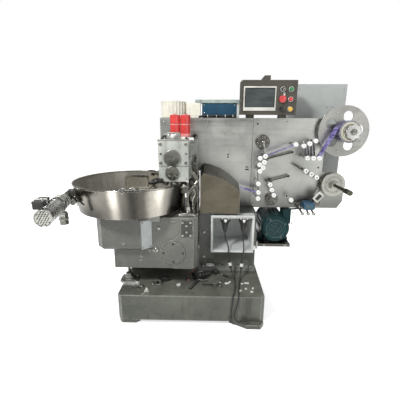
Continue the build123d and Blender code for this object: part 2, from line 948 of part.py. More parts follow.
def socket_box():
    """White framed box open at the front, with a deep liner that fills the column's pocket."""
    cavity_xs = (socket_left + socket_wall, socket_right - socket_wall)
    cavity_top = liner_bounds(0)[1][1] - socket_wall / 2
    cavity_zs = (socket_bottom + socket_wall, cavity_top)
    frame = block((socket_left, socket_right), (socket_front, column_front), (socket_bottom, socket_top))
    xs, zs = liner_bounds(0)
    liner = block(xs, (column_front, socket_deep), zs)
    cavity_ys = (socket_front - seat_gap, socket_deep - socket_back_wall)
    return frame + liner - block(cavity_xs, cavity_ys, cavity_zs)


def sockets():
    """Round black sockets that hang from the box's top wall."""
    top = liner_bounds(0)[1][1] - socket_wall / 2
    flange_low = top - socket_flange_thick
    stub_top = lead_start_z + socket_stub_length
    pieces = []
    for x in (socket_a_x, socket_b_x):
        body = rod_z(socket_flange, x, socket_y, flange_low, top)
        cone_height_here = flange_low - stub_top
        cone = Cone(socket_neck, socket_flange - socket_flange_thick / 2, cone_height_here)
        body += Pos(x, socket_y, stub_top + cone_height_here / 2) * cone
        body += rod_z(socket_stub, x, socket_y, lead_start_z, stub_top)
        pieces.append(body)
    return pieces


def lead_radii(points):
    """Largest bend that each inner point of a lead's route allows."""
    route = [Vector(*p) for p in points]
    radii = []
    for before, here, after in zip(route, route[1:], route[2:]):
        first = here - before
        second = after - here
        turn = radians(first.get_angle(second))
        radii.append(lead_bend_share * min(first.length, second.length) / tan(turn / 2))
    return radii


def lead(points):
    """Round lead along straight runs joined by tangent bends."""
    radii = lead_radii(points)
    path = FilletPolyline(points, radius=radii)
    tube = sweep(Plane(path @ 0, z_dir=path % 0) * Circle(lead_radius), path)
    print("lead", round(path.length), "mm, bends", [round(r) for r in radii], "fill",
          round(tube.volume / (path.length * pi * lead_radius ** 2), 4))
    return tube


def lead_fittings(points, connector_run):
    """Connector on a straight part of the lead, and the plug at its end."""
    start = Vector(*points[connector_run])
    end = Vector(*points[connector_run + 1])
    along = (end - start).normalized()
    middle = (start + end) * 0.5
    sleeve = Cylinder(connector_neck, connector_length)
    sleeve += Cylinder(connector_radius, connector_length * connector_body_share)
    sleeve -= Cylinder(lead_radius + lead_clear, 2 * connector_length)
    sleeve = Plane(middle, z_dir=along) * sleeve
    tip = Vector(*points[-1])
    heading = (tip - Vector(*points[-2])).normalized()
    plug = Pos(0, 0, lead_plug_length / 2) * Cylinder(lead_plug_radius, lead_plug_length)
    plug = chamfer(plug.edges(), lead_plug_radius / 4)
    return [sleeve, Plane(tip, z_dir=heading) * plug]


def motor_bracket():
    low = bracket_top - bracket_thick
    body = block((column_right, bracket_right), (bracket_front, bracket_back), (low, bracket_top))
    return body + block((column_right, column_right + bracket_side), (bracket_front, bracket_back),
                        (bracket_top, bracket_top + bracket_side_height))


def main_motor():
    """Finned barrel on two feet, with a plain ring at its far end."""
    start = motor_front + cowl_length
    end = motor_front + motor_length
    fin_end = end - motor_end_ring
    body = rod_y(motor_radius - fin_height, motor_x, motor_z, start, end)
    for k in range(motor_fins):
        angle = 360 / motor_fins * (k + 0.5)
        fin = block((0, motor_radius - fin_tip_inset), (start, fin_end), (-fin_thick / 2, fin_thick / 2))
        body += Pos(motor_x, 0, motor_z) * Rot(0, angle, 0) * fin
    body += rod_y(motor_radius, motor_x, motor_z, fin_end, end)
    foot_top = bracket_top + bracket_thick
    foot_front = start + motor_end_ring
    foot_back = fin_end - motor_end_ring
    for side in (-1, 1):
        x = motor_x + side * motor_foot_x
        half_foot = motor_foot_width / 2
        half_web = motor_web_width / 2
        body += block((x - half_foot, x + half_foot), (foot_front, foot_back), (bracket_top, foot_top))
        body += block((x - half_web, x + half_web), (foot_front, foot_back), (foot_top, motor_z - half_foot))
    return body


def motor_cowl():
    """Fan cowl with a rounded front edge and a shallow dish in its face."""
    cowl = rod_y(motor_radius, motor_x, motor_z, motor_front, motor_front + cowl_length)
    cowl = fillet(cowl.edges().sort_by(Axis.Y)[0], cowl_edge)
    return cowl - rod_y(cowl_dish, motor_x, motor_z, motor_front - seat_gap, motor_front + cowl_dish_depth)


def motor_terminal_box():
    front = motor_front + cowl_length + terminal_front
    box = block(
        (motor_x + terminal_inset, motor_x + terminal_reach),
        (front, front + terminal_length),
        (motor_z + terminal_low, plate_bottom - terminal_clear),
    )
    keep_out = motor_radius - fin_tip_inset + seat_gap
    return box - rod_y(keep_out, motor_x, motor_z, motor_front, motor_front + motor_length)


def operator_panel():
    """Panel case with the sloped lamp housing on its top."""
    panel_right = panel_left + panel_width
    panel_top = panel_bottom + panel_height
    panel_back = panel_front + panel_depth
    body = block((panel_left, panel_right), (panel_front, panel_back), (panel_bottom, panel_top))
    body = fillet(body.edges().filter_by(Axis.Y), panel_edge)
    lamp_left = panel_left + lamp_left_inset
    lamp_right = lamp_left + lamp_width
    lamp = [(lamp_left, panel_top), (lamp_left + lamp_slope, panel_top + lamp_height),
            (lamp_right, panel_top + lamp_height), (lamp_right, panel_top)]
    return body + front_outline(lamp, panel_front + lamp_slope, panel_back - lamp_slope)


def panel_feet():
    panel_right = panel_left + panel_width
    feet = []
    for left in (panel_left + panel_foot_inset, panel_right - panel_foot_inset - panel_foot_width):
        feet.append(block((left, left + panel_foot_width),
                          (plate_front + plate_thick, panel_front + panel_depth),
                          (plate_top - housing_inset, panel_bottom)))
    return feet


def bezel_bounds():
    """The screen bezel's span in X and in Z."""
    left = panel_left + bezel_left_inset
    top = panel_bottom + panel_height - bezel_top_inset
    return (left, left + bezel_width), (top - bezel_height, top)


def glass_space(front, back):
    """Block that fills the bezel's opening between two depths."""
    xs, zs = bezel_bounds()
    glass_xs = (xs[0] + glass_side_inset, xs[1] - glass_side_inset)
    return block(glass_xs, (front, back), (zs[0] + glass_bottom_inset, zs[1] - glass_top_inset))


def panel_screen():
    xs, zs = bezel_bounds()
    front = panel_front - bezel_proud
    return block(xs, (front, panel_front), zs) - glass_space(front - seat_gap, panel_front + seat_gap)


def panel_glass():
    return glass_space(panel_front - bezel_proud / 2, panel_front)


def panel_buttons():
    """Two rows of three buttons; the middle one of the left row is a mushroom head."""
    right = panel_left + panel_width - button_right_inset
    top = panel_bottom + panel_height - button_top_inset
    ring_front = panel_front - bezel_proud
    buttons = []
    for row in range(3):
        z = top - row * button_pitch_z
        for column_index in range(2):
            x = right - column_index * button_pitch_x
            big = row == 1 and column_index == 1
            head = button_mushroom if big else button_head
            button = rod_y(button_ring, x, z, ring_front, panel_front)
            button += rod_y(head, x, z, panel_front - button_proud, ring_front)
            buttons.append(button)
    return buttons


def ribbed_drum():
    low = plate_top - housing_inset
    top = plate_top + drum_height
    drum = rod_z(drum_radius - drum_rib_radius / 2, 0, 0, low, top)
    for k in range(drum_ribs):
        angle = radians(360 / drum_ribs * k)
        ring = drum_radius - drum_rib_radius
        drum += rod_z(drum_rib_radius, ring * cos(angle), ring * sin(angle), low, top)
    return Pos(drum_x, drum_y, 0) * drum


def drum_case():
    left = drum_x + drum_radius + case_gap
    right = supply_left - 3 * case_gap
    front = supply_front - 2 * case_gap
    return block((left, right), (front, front + supply_depth),
                 (plate_top - housing_inset, plate_top + supply_height))


def supply_box():
    return block((supply_left, supply_right), (supply_front, supply_front + supply_depth),
                 (plate_top - housing_inset, plate_top + supply_height))


def supply_lid():
    low = plate_top + supply_height
    return block((supply_left - lid_left_reach, supply_right + lid_right_reach),
                 (supply_front - lid_front_reach, supply_front + supply_depth + lid_back_reach),
                 (low, low + lid_thick))


def roller(right, up, back=plate_front):
    """Guide roller out of the plate, with a wide white cap at its tip and a collar at its root."""
    x = plate_seam + right
    z = plate_bottom + up
    tip = plate_front - roller_reach
    body = rod_y(roller_radius, x, z, tip, back)
    body += rod_y(roller_cap, x, z, tip, tip + roller_cap_length)
    return body + rod_y(roller_collar, x, z, back - roller_collar_length, back)


def guide_rollers():
    places = left_rollers + low_rollers + top_rollers + row_rollers
    return [roller(right, up) for right, up in places]


def roller_bar():
    """Sloping flat bar on the plate that carries three rollers."""
    run = roller_bar_right - roller_bar_left
    rise = roller_bar_right_up - roller_bar_left_up
    turn = degrees(atan2(rise, run))
    half = roller_bar_width / 2
    bar_front = plate_front - roller_bar_thick
    bar = block((0, hypot(run, rise)), (bar_front, plate_front), (-half, half))
    bar = Pos(plate_seam + roller_bar_left, 0, plate_bottom + roller_bar_left_up) * Rot(0, -turn, 0) * bar
    for share in bar_roller_shares:
        bar += roller(roller_bar_left + run * share, roller_bar_left_up + rise * share, bar_front + seat_gap)
    return bar


def lever_pin(x, z):
    """Pin of a tension lever, with the spacer behind the lever."""
    pin = rod_y(lever_pin_radius, x, z, lever_y - lever_pin_proud, plate_front)
    return pin + rod_y(lever_boss, x, z, lever_y + lever_thick + seat_gap, plate_front)


def plate_bosses():
    """Two round bearing bosses on the plate, and the levers' pins."""
    pieces = []
    for right, up, radius in bosses:
        x = plate_seam + right
        z = plate_bottom + up
        boss = rod_y(radius, x, z, plate_front - boss_thick, plate_front)
        pieces.append(boss + rod_y(radius * boss_nose_share, x, z, plate_front - boss_nose, plate_front))
    pieces.append(lever_pin(lever_upper_x, lever_upper_z))
    pieces.append(lever_pin(lever_lower_x, lever_lower_z))
    return pieces


def web_sensor():
    """Arm at the plate's lower edge with the sensor's body and its fork."""
    left = plate_seam + sensor_left
    low = plate_bottom + sensor_up
    arm_low = low + sensor_arm_height
    arm = block((left - sensor_body_width, left - sensor_body_width + sensor_arm_length),
                (sensor_back, plate_front),
                (arm_low, arm_low + sensor_arm_height))
    arm += block((left, left + sensor_body_width), (sensor_front, sensor_back),
                 (low, low + sensor_body_height))
    fork_low = low + sensor_body_height / 2
    fork_left = left + sensor_body_width
    arm += block((fork_left, fork_left + sensor_fork_width), (sensor_front + sensor_arm_height, sensor_back),
                 (fork_low, fork_low + sensor_fork_height))
    return arm


def reel_centre():
    return plate_right + reel_reach, plate_top - reel_drop


def low_reel_centre():
    return plate_right + low_reel_reach, plate_bottom + low_reel_up


def reel_arms():
    """Arm with the upper reel's bearing, and the lower reel's bearing."""
    x, z = reel_centre()
    front = plate_front - arm_thick
    half = arm_width / 2
    upper = block((plate_right - 2 * bearing_radius, x), (front, plate_front), (z - half, z + half))
    upper += rod_y(half, x, z, front, plate_front)
    upper += rod_y(bearing_radius, x, z, reel_back + reel_thick + spindle_seat, front)
    upper -= rod_y(spindle_radius + spindle_clear, x, z, reel_back, plate_front - spindle_seat + seat_gap)
    low_x, low_z = low_reel_centre()
    lower_front = low_hub_back + low_hub_thick + spindle_seat
    lower = rod_y(low_bearing_radius, low_x, low_z, lower_front, plate_front)
    lower -= rod_y(low_spindle_radius + spindle_clear, low_x, low_z,
                   low_hub_back, plate_front - spindle_seat + seat_gap)
    return [upper, lower]


def upper_reel_disc():
    x, z = reel_centre()
    disc = rod_y(reel_radius, x, z, reel_back, reel_back + reel_thick)
    for k in range(reel_holes):
        angle = radians(reel_hole_turn + 360 / reel_holes * k)
        hole_x = x + reel_hole_ring * cos(angle)
        hole_z = z + reel_hole_ring * sin(angle)
        disc -= rod_y(reel_hole_radius, hole_x, hole_z,
                      reel_back - seat_gap, reel_back + reel_thick + seat_gap)
    return disc + rod_y(spindle_radius, x, z, knob_front, plate_front - spindle_seat)


def film_roll():
    x, z = reel_centre()
    front = reel_back - roll_width
    bore = rod_y(core_radius, x, z, front - seat_gap, reel_back + seat_gap)
    return rod_y(roll_radius, x, z, front, reel_back) - bore


def reel_core():
    x, z = reel_centre()
    front = reel_back - roll_width - core_proud
    bore = rod_y(spindle_radius, x, z, front - seat_gap, reel_back + seat_gap)
    return rod_y(core_radius, x, z, front, reel_back) - bore


def reel_knob():
    """Lobed hand knob that clamps the film roll on its spindle."""
    x, z = reel_centre()
    back = reel_back - roll_width - core_proud
    knob_back = knob_front + knob_thick
    lobe = knob_radius * knob_lobe
    ring = knob_radius - lobe
    knob = rod_y(ring + lobe / 2, x, z, knob_front, knob_back)
    for k in range(knob_lobes):
        angle = radians(360 / knob_lobes * k)
        knob += rod_y(lobe, x + ring * cos(angle), z + ring * sin(angle), knob_front, knob_back)
    knob += rod_y(knob_neck, x, z, knob_back, back)
    return knob - rod_y(spindle_radius, x, z, knob_front - seat_gap, back + seat_gap)


def lower_reel_hub():
    x, z = low_reel_centre()
    hub = rod_y(low_hub_radius, x, z, low_hub_back, low_hub_back + low_hub_thick)
    half = low_block / 2
    hub += block((x - half, x + half), (low_hub_back - low_block_thick, low_hub_back), (z - half, z + half))
    bore_back = low_hub_back + 2 * low_hub_thick
    return hub - rod_y(low_spindle_radius, x, z, low_hub_back - 2 * low_block_thick, bore_back)


def lower_spindle():
    x, z = low_reel_centre()
    shaft = rod_y(low_spindle_radius, x, z, low_spindle_tip, plate_front - spindle_seat)
    grip_back = low_spindle_tip + low_grip_length
    return shaft + rod_y(low_spindle_radius + low_grip_extra, x, z, low_spindle_tip, grip_back)


def tension_lever(x, z, reach):
    """Flat lever with a ball knob at its free end, turning on a pin in the plate."""
    tip_x = reach * cos(radians(lever_rise))
    tip_z = reach * sin(radians(lever_rise))
    half = lever_width / 2
    bar = Rot(0, -lever_rise, 0) * block((0, reach), (0, lever_thick), (-half, half))
    bar += rod_y(lever_boss, 0, 0, -lever_thick, lever_thick)
    bar += Pos(tip_x, lever_thick / 2, tip_z) * Sphere(lever_ball)
    bar -= rod_y(lever_pin_radius + spindle_clear, 0, 0, -2 * lever_thick, 2 * lever_thick)
    return Pos(x, lever_y, z) * bar


pieces = {
    "base_plinth": base_plinth(),
    "base_feet": base_feet(),
    "gearbox_body": gearbox_body(),
    "gearbox_pedestal": gearbox_pedestal(),
    "gearbox_covers": gearbox_covers(),
    "valve_plate": valve_plate(),
    "turntable_housing": turntable_housing(),
    "support_jack": support_jack(),
    "pan_bearing": pan_bearing(),
    "feed_pan": feed_pan(),
    "pan_disc": pan_disc(),
    "pan_fittings": pan_fittings(),
    "brush_motor": brush_motor(),
    "brush_gearbox": brush_gearbox(),
    "brush_arm": brush_arm(),
    "column": column(),
    "main_plate_left": main_plate_left(),
    "main_plate_right": main_plate_right(),
    "rear_housing": rear_housing(),
    "control_cabinet": control_cabinet(),
    "head_plates": head_plates(),
    "head_discs": head_discs(),
    "head_block": head_block(),
    "red_cups": red_cups(),
    "cup_bracket": cup_bracket(),
    "wheel_guard": wheel_guard(),
    "linkage_frame": linkage_frame(),
    "linkage_rods": linkage_rods(),
    "socket_box": socket_box(),
    "sockets": sockets(),
    "lead_left": lead(left_lead_points),
    "lead_right": lead(right_lead_points),
    "lead_left_fittings": lead_fittings(left_lead_points, left_connector_run),
    "lead_right_fittings": lead_fittings(right_lead_points, right_connector_run),
    "motor_bracket": motor_bracket(),
    "main_motor": main_motor(),
    "motor_cowl": motor_cowl(),
    "motor_terminal_box": motor_terminal_box(),
    "operator_panel": operator_panel(),
    "panel_feet": panel_feet(),
    "panel_screen": panel_screen(),
    "panel_glass": panel_glass(),
    "panel_buttons": panel_buttons(),
    "ribbed_drum": ribbed_drum(),
    "drum_case": drum_case(),
    "supply_box": supply_box(),
    "supply_lid": supply_lid(),
    "guide_rollers": guide_rollers(),
    "roller_bar": roller_bar(),
    "plate_bosses": plate_bosses(),
    "web_sensor": web_sensor(),
    "reel_arms": reel_arms(),
    "upper_reel_disc": upper_reel_disc(),
    "film_roll": film_roll(),
    "reel_core": reel_core(),
    "reel_knob": reel_knob(),
    "lower_reel_hub": lower_reel_hub(),
    "lower_spindle": lower_spindle(),
    "tension_lever_upper": tension_lever(lever_upper_x, lever_upper_z, lever_upper_reach),
    "tension_lever_lower": tension_lever(lever_lower_x, lever_lower_z, lever_lower_reach),
}


def as_solids(made):
    """Every solid of a piece, whether it came as one shape or a list."""
    shapes = made if isinstance(made, list) else [made]
    solids = []
    for shape in shapes:
        solids += list(shape.solids())
    return solids


solids_of = {}
for name, made in pieces.items():
    solids_of[name] = as_solids(made)

every = [solid for solids in solids_of.values() for solid in solids]
whole = Compound(every).bounding_box()
shift_x = -(whole.min.X + whole.max.X) / 2
shift_y = -(whole.min.Y + whole.max.Y) / 2
print("machine size", whole.size, "base centre at", shift_x, shift_y)

os.makedirs("parts", exist_ok=True)
for name, solids in solids_of.items():
    placed = [Pos(shift_x, shift_y, 0) * solid for solid in solids]
    shape = placed[0] if len(placed) == 1 else Compound(placed)
    export_step(shape, f"parts/{name}.step")
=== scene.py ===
import logging
import math
from dataclasses import dataclass
from enum import Enum

import bmesh
import bpy
import numpy as np
from mathutils import Matrix, Vector


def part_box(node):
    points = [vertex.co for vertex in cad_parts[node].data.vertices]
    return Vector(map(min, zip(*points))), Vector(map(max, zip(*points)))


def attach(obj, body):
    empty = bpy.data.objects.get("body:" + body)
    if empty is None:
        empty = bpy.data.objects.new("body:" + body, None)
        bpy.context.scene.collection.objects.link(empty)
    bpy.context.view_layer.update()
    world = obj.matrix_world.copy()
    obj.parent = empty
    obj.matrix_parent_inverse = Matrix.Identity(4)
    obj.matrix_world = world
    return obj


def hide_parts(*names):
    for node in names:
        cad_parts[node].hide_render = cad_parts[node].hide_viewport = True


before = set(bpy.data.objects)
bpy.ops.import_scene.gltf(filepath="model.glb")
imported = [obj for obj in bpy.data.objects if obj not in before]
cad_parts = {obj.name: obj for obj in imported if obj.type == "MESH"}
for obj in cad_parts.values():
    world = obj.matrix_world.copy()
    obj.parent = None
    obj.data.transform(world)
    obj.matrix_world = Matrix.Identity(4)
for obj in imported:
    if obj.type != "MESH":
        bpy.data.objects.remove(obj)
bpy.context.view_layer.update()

# Wrapping machine for small sweets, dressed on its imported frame. Lengths are in metres, +X towards
# the film reels, -Y towards the operator, +Z up. Places are given on the machine's own datum, the
# point on the floor under the base's centre, and BASE turns them into the shared frame.

log = logging.getLogger("wrapping_machine")

Colour = tuple[float, float, float]
Point = tuple[float, float, float]
Pair = tuple[float, float]
Pairs = tuple[Pair, ...]

_low, _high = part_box("base_plinth")
BASE = np.array([(_low.x + _high.x) / 2, (_low.y + _high.y) / 2, 0.0])


class Slot(Enum):
    """Finishes of the machine, by the names of the record's material slots."""

    BASE_PAINT = "base_paint"
    BODY_PAINT = "body_paint"
    DARK_PAINT = "dark_paint"
    CABINET_PAINT = "cabinet_paint"
    HEAD_PAINT = "head_paint"
    PLATE_STEEL = "plate_steel"
    POLISHED_STEEL = "polished_steel"
    MACHINED_STEEL = "machined_steel"
    DARK_STEEL = "dark_steel"
    CAST_METAL = "cast_metal"
    MOTOR_GREY = "motor_grey"
    MOTOR_TEAL = "motor_teal"
    BOX_PAINT = "box_paint"
    PANEL_PAINT = "panel_paint"
    BEZEL_PLASTIC = "bezel_plastic"
    SCREEN_GLASS = "screen_glass"
    BUTTON_PLASTIC = "button_plastic"
    BLACK_PLASTIC = "black_plastic"
    BLACK_RUBBER = "black_rubber"
    CREAM_PLASTIC = "cream_plastic"
    WHITE_PLASTIC = "white_plastic"
    BLUE_PAINT = "blue_paint"
    RED_PLASTIC = "red_plastic"
    FILM_PURPLE = "film_purple"


@dataclass
class Form:
    """A closed surface: points in metres and faces as lists of point numbers."""

    points: np.ndarray
    faces: list[list[int]]


@dataclass(frozen=True)
class Place:
    """A local frame: where a shape sits and which way it faces."""

    origin: Point
    across: Point = (1.0, 0.0, 0.0)
    up: Point = (0.0, 1.0, 0.0)

    def put(self, local: np.ndarray) -> np.ndarray:
        """Carries local points to the shared frame: origin + x * across + y * up + z * (across x up).

        Args:
            local: Points in the local frame, one row each.

        Returns:
            The points in the shared frame.
        """
        x = np.array(self.across) / np.linalg.norm(self.across)
        y = np.array(self.up) / np.linalg.norm(self.up)
        axes = np.stack([x, y, np.cross(x, y)])
        return local @ axes + np.array(self.origin) + BASE


def front(x: float, y: float, z: float) -> Place:
    """Place whose outward axis points to the operator, -Y."""
    return Place((x, y, z), (1, 0, 0), (0, 0, 1))


def top(x: float, y: float, z: float) -> Place:
    """Place whose outward axis points up, +Z."""
    return lying(x, y, z, 1, 0)


def left(x: float, y: float, z: float) -> Place:
    """Place whose outward axis points to the pan's side, -X."""
    return Place((x, y, z), (0, -1, 0), (0, 0, 1))


def right(x: float, y: float, z: float) -> Place:
    """Place whose outward axis points to the reels' side, +X."""
    return Place((x, y, z), (0, 1, 0), (0, 0, 1))


def rear(x: float, y: float, z: float) -> Place:
    """Place whose outward axis points to the back, +Y."""
    return Place((x, y, z), (-1, 0, 0), (0, 0, 1))


def lying(x: float, y: float, z: float, run_x: float, run_y: float) -> Place:
    """Place that faces up, +Z, with its width along a run given in X and Y."""
    return Place((x, y, z), (run_x, run_y, 0), (-run_y, run_x, 0))


def ring_spot(x: float, y: float, z: float, radius: float, angle: float) -> Place:
    """Place that faces the operator, on a circle about its middle: (x + r cos a, y, z + r sin a)."""
    return front(x + radius * math.cos(angle), y, z + radius * math.sin(angle))


def mm(*numbers: float) -> list[Pair]:
    """Pairs of a profile or outline, from a row of numbers in millimetres."""
    return [(first / 1000, second / 1000) for first, second in zip(numbers[::2], numbers[1::2])]


def quads(rows: int, columns: int, loop_rows: bool = False, loop_columns: bool = False) -> np.ndarray:
    """Faces of a grid of points numbered row by row: each cell joins two neighbours in both directions.

    Args:
        rows: How many rows of points.
        columns: How many points in a row.
        loop_rows: The last row joins the first.
        loop_columns: The last column joins the first.

    Returns:
        One row of four point numbers for each cell.
    """
    r = np.arange(rows if loop_rows else rows - 1)[:, None]
    c = np.arange(columns if loop_columns else columns - 1)[None, :]
    r2, c2 = (r + 1) % rows, (c + 1) % columns
    corners = [r * columns + c, r * columns + c2, r2 * columns + c2, r2 * columns + c]
    return np.stack(np.broadcast_arrays(*corners), axis=-1).reshape(-1, 4)


def join(*forms: Form) -> Form:
    """Puts several forms in one: points end to end, and each form's faces moved on by the points before.

    Args:
        forms: The forms, in order.

    Returns:
        One form of them all.
    """
    starts = np.cumsum([0] + [len(f.points) for f in forms])
    points = np.concatenate([f.points for f in forms])
    faces = [[i + int(s) for i in face] for f, s in zip(forms, starts) for face in f.faces]
    return Form(points, faces)


def revolve(profile: list[Pair], place: Place, sides: int = 40, hollow: bool = False) -> Form:
    """Turns a profile about the place's outward axis: (r cos t, r sin t, h) for t round the circle.

    Args:
        profile: Radius and height pairs along the outline.
        place: Where the axis stands.
        sides: Points round the circle.
        hollow: The profile closes on itself, as a ring's section does.

    Returns:
        The turned surface, closed with a flat face at each end, or ringwise if hollow.
    """
    r, h = np.array(profile, float).T
    t = np.linspace(0, 2 * np.pi, sides, endpoint=False)
    local = np.stack(
        [np.outer(r, np.cos(t)), np.outer(r, np.sin(t)), np.repeat(h[:, None], sides, 1)], axis=-1
    ).reshape(-1, 3)
    faces = quads(len(r), sides, loop_rows=hollow, loop_columns=True).tolist()
    if not hollow:
        faces += [list(range(sides)), list(range((len(r) - 1) * sides, len(r) * sides))]
    return Form(place.put(local), faces)


def hoop(profile: list[Pair], place: Place, sides: int) -> Form:
    """Turned ring: its profile closes on itself."""
    return revolve(profile, place, sides, hollow=True)


def prism(outline: np.ndarray, place: Place, start: float, end: float) -> Form:
    """Carries a flat outline along the outward axis: (x, y, h), with h from start to end.

    Args:
        outline: Points of the outline, in order.
        place: The outline's frame.
        start: Height of the first face.
        end: Height of the last face.

    Returns:
        The closed prism.
    """
    outline = np.asarray(outline, float)
    n = len(outline)
    ends = [np.column_stack([outline, np.full(n, h)]) for h in (start, end)]
    faces = quads(2, n, loop_columns=True).tolist() + [list(range(n)), list(range(n, 2 * n))]
    return Form(place.put(np.concatenate(ends)), faces)


def rounded(width: float, height: float, radius: float, steps: int = 5) -> np.ndarray:
    """Outline of a rectangle with round corners: four quarter circles about the inner corners.

    Args:
        width: Size across.
        height: Size up.
        radius: Corner radius.
        steps: Points on each corner.

    Returns:
        The outline's points, round the origin.
    """
    t = np.linspace(0, np.pi / 2, steps)[None, :] + (np.arange(4) * np.pi / 2)[:, None]
    cx = (width / 2 - radius) * np.array([1, -1, -1, 1])[:, None]
    cy = (height / 2 - radius) * np.array([1, 1, -1, -1])[:, None]
    return np.stack([cx + radius * np.cos(t), cy + radius * np.sin(t)], axis=-1).reshape(-1, 2)


def polygon(sides: int, radius: float, turn: float = 0.0) -> np.ndarray:
    """Regular outline: (r cos t, r sin t), with t in equal steps from turn."""
    t = np.arange(sides) * 2 * np.pi / sides + turn
    return radius * np.stack([np.cos(t), np.sin(t)], axis=-1)


def slab(
    place: Place, width: float, height: float, radius: float, start: float, end: float, steps: int = 5
) -> Form:
    """Plate with round corners, from one height to another along the outward axis."""
    return prism(rounded(width, height, radius, steps), place, start, end)


def block(place: Place, width: float, height: float, depth: float, radius: float = 0.003) -> Form:
    """Block with round corners that stands depth out of the place, and is sunk 1 mm into it."""
    return slab(place, width, height, radius, -0.001, depth)


def sweep(
    path: list[Point] | np.ndarray, section: np.ndarray, guide: Point = (0, 0, 1), smooth: int = 1
) -> Form:
    """Carries a section along a path: p + u * side + v * lift, with side = tangent x guide.

    Args:
        path: Points of the path on the datum, at least two.
        section: Outline of the section, closed.
        guide: A direction that the path never runs along.
        smooth: Points put on each run of a Catmull-Rom curve through the path's points.

    Returns:
        The closed tube, with flat ends.
    """
    p = np.asarray(path, float)
    if smooth > 1:
        q = np.concatenate([2 * p[:1] - p[1:2], p, 2 * p[-1:] - p[-2:-1]])
        t = np.linspace(0, 1, smooth, endpoint=False)[None, :, None]
        a, b, c, d = (q[i : len(q) - 3 + i][:, None, :] for i in range(4))
        square, cube = 2 * a - 5 * b + 4 * c - d, 3 * b - a - 3 * c + d
        curve = 0.5 * (2 * b + (c - a) * t + square * t**2 + cube * t**3)
        p = np.concatenate([curve.reshape(-1, 3), p[-1:]])
    tangent = np.gradient(p, axis=0)
    tangent /= np.linalg.norm(tangent, axis=1, keepdims=True)
    side = np.cross(tangent, np.array(guide, float))
    side /= np.linalg.norm(side, axis=1, keepdims=True)
    lift = np.cross(side, tangent)
    u, v = section.T
    points = p[:, None, :] + u[None, :, None] * side[:, None, :] + v[None, :, None] * lift[:, None, :]
    n, k = len(p), len(section)
    faces = quads(n, k, loop_columns=True).tolist() + [list(range(k)), list(range((n - 1) * k, n * k))]
    return Form(points.reshape(-1, 3) + BASE, faces)


def tube(
    path: list[Point] | np.ndarray, radius: float, sides: int, smooth: int = 6, guide: Point = (0, 0, 1)
) -> Form:
    """Round bar along a path: a regular section swept along it."""
    return sweep(path, polygon(sides, radius), guide, smooth)


def bolt(place: Place, across: float = 0.013, height: float = 0.006) -> Form:
    """Hexagon bolt: a turned washer, and a six-sided prism whose top is domed by a turned cap.

    Args:
        place: Where it stands.
        across: Size over its flats.
        height: How far it stands out.

    Returns:
        The bolt.
    """
    washer = revolve([
        (across * 0.2, -0.001), (across * 0.78, -0.001), (across * 0.78, 0.0012),
        (across * 0.7, 0.0018), (across * 0.2, 0.0018)
    ], place, 24)
    head = prism(polygon(6, across * 0.577, 0.3), place, 0.0015, height * 0.9)
    dome = revolve([
        (across * 0.48, height * 0.5), (across * 0.5, height * 0.88), (across * 0.4, height),
        (across * 0.1, height * 1.02)
    ], place, 20)
    return join(washer, head, dome)


def cap_screw(place: Place, radius: float = 0.005, height: float = 0.005) -> Form:
    """Socket cap screw: a turned head with a round-edged top and a sunk recess."""
    profile = [
        (radius, -0.001), (radius, height * 0.8), (radius * 0.86, height), (radius * 0.5, height),
        (radius * 0.45, height * 0.35), (radius * 0.1, height * 0.3)
    ]
    return revolve(profile, place, 20)


def mesh_object(
    name: str, form: Form, material: bpy.types.Material, bevel: float = 0.0, angle: float = 35.0
) -> bpy.types.Object:
    """Makes one object of a form, with its faces turned outwards and its creases kept sharp.

    Args:
        name: The piece's name.
        form: Its surface.
        material: Its finish.
        bevel: Width of a Bevel modifier on edges over 30 degrees, none if 0.
        angle: Edges sharper than this, in degrees, stay creased.

    Returns:
        The new object, at the origin.
    """
    mesh = bpy.data.meshes.new(name)
    mesh.from_pydata(form.points.tolist(), [], form.faces)
    shell = bmesh.new()
    shell.from_mesh(mesh)
    bmesh.ops.recalc_face_normals(shell, faces=shell.faces)
    shell.to_mesh(mesh)
    shell.free()
    mesh.shade_smooth()
    mesh.set_sharp_from_angle(angle=math.radians(angle))
    mesh.materials.append(material)
    obj = bpy.data.objects.new(name, mesh)
    bpy.context.scene.collection.objects.link(obj)
    if bevel:
        edge = obj.modifiers.new("edge", "BEVEL")
        edge.width = bevel
        edge.segments = 2
        edge.limit_method = "ANGLE"
        edge.angle_limit = math.radians(30)
        edge.harden_normals = False
    return obj


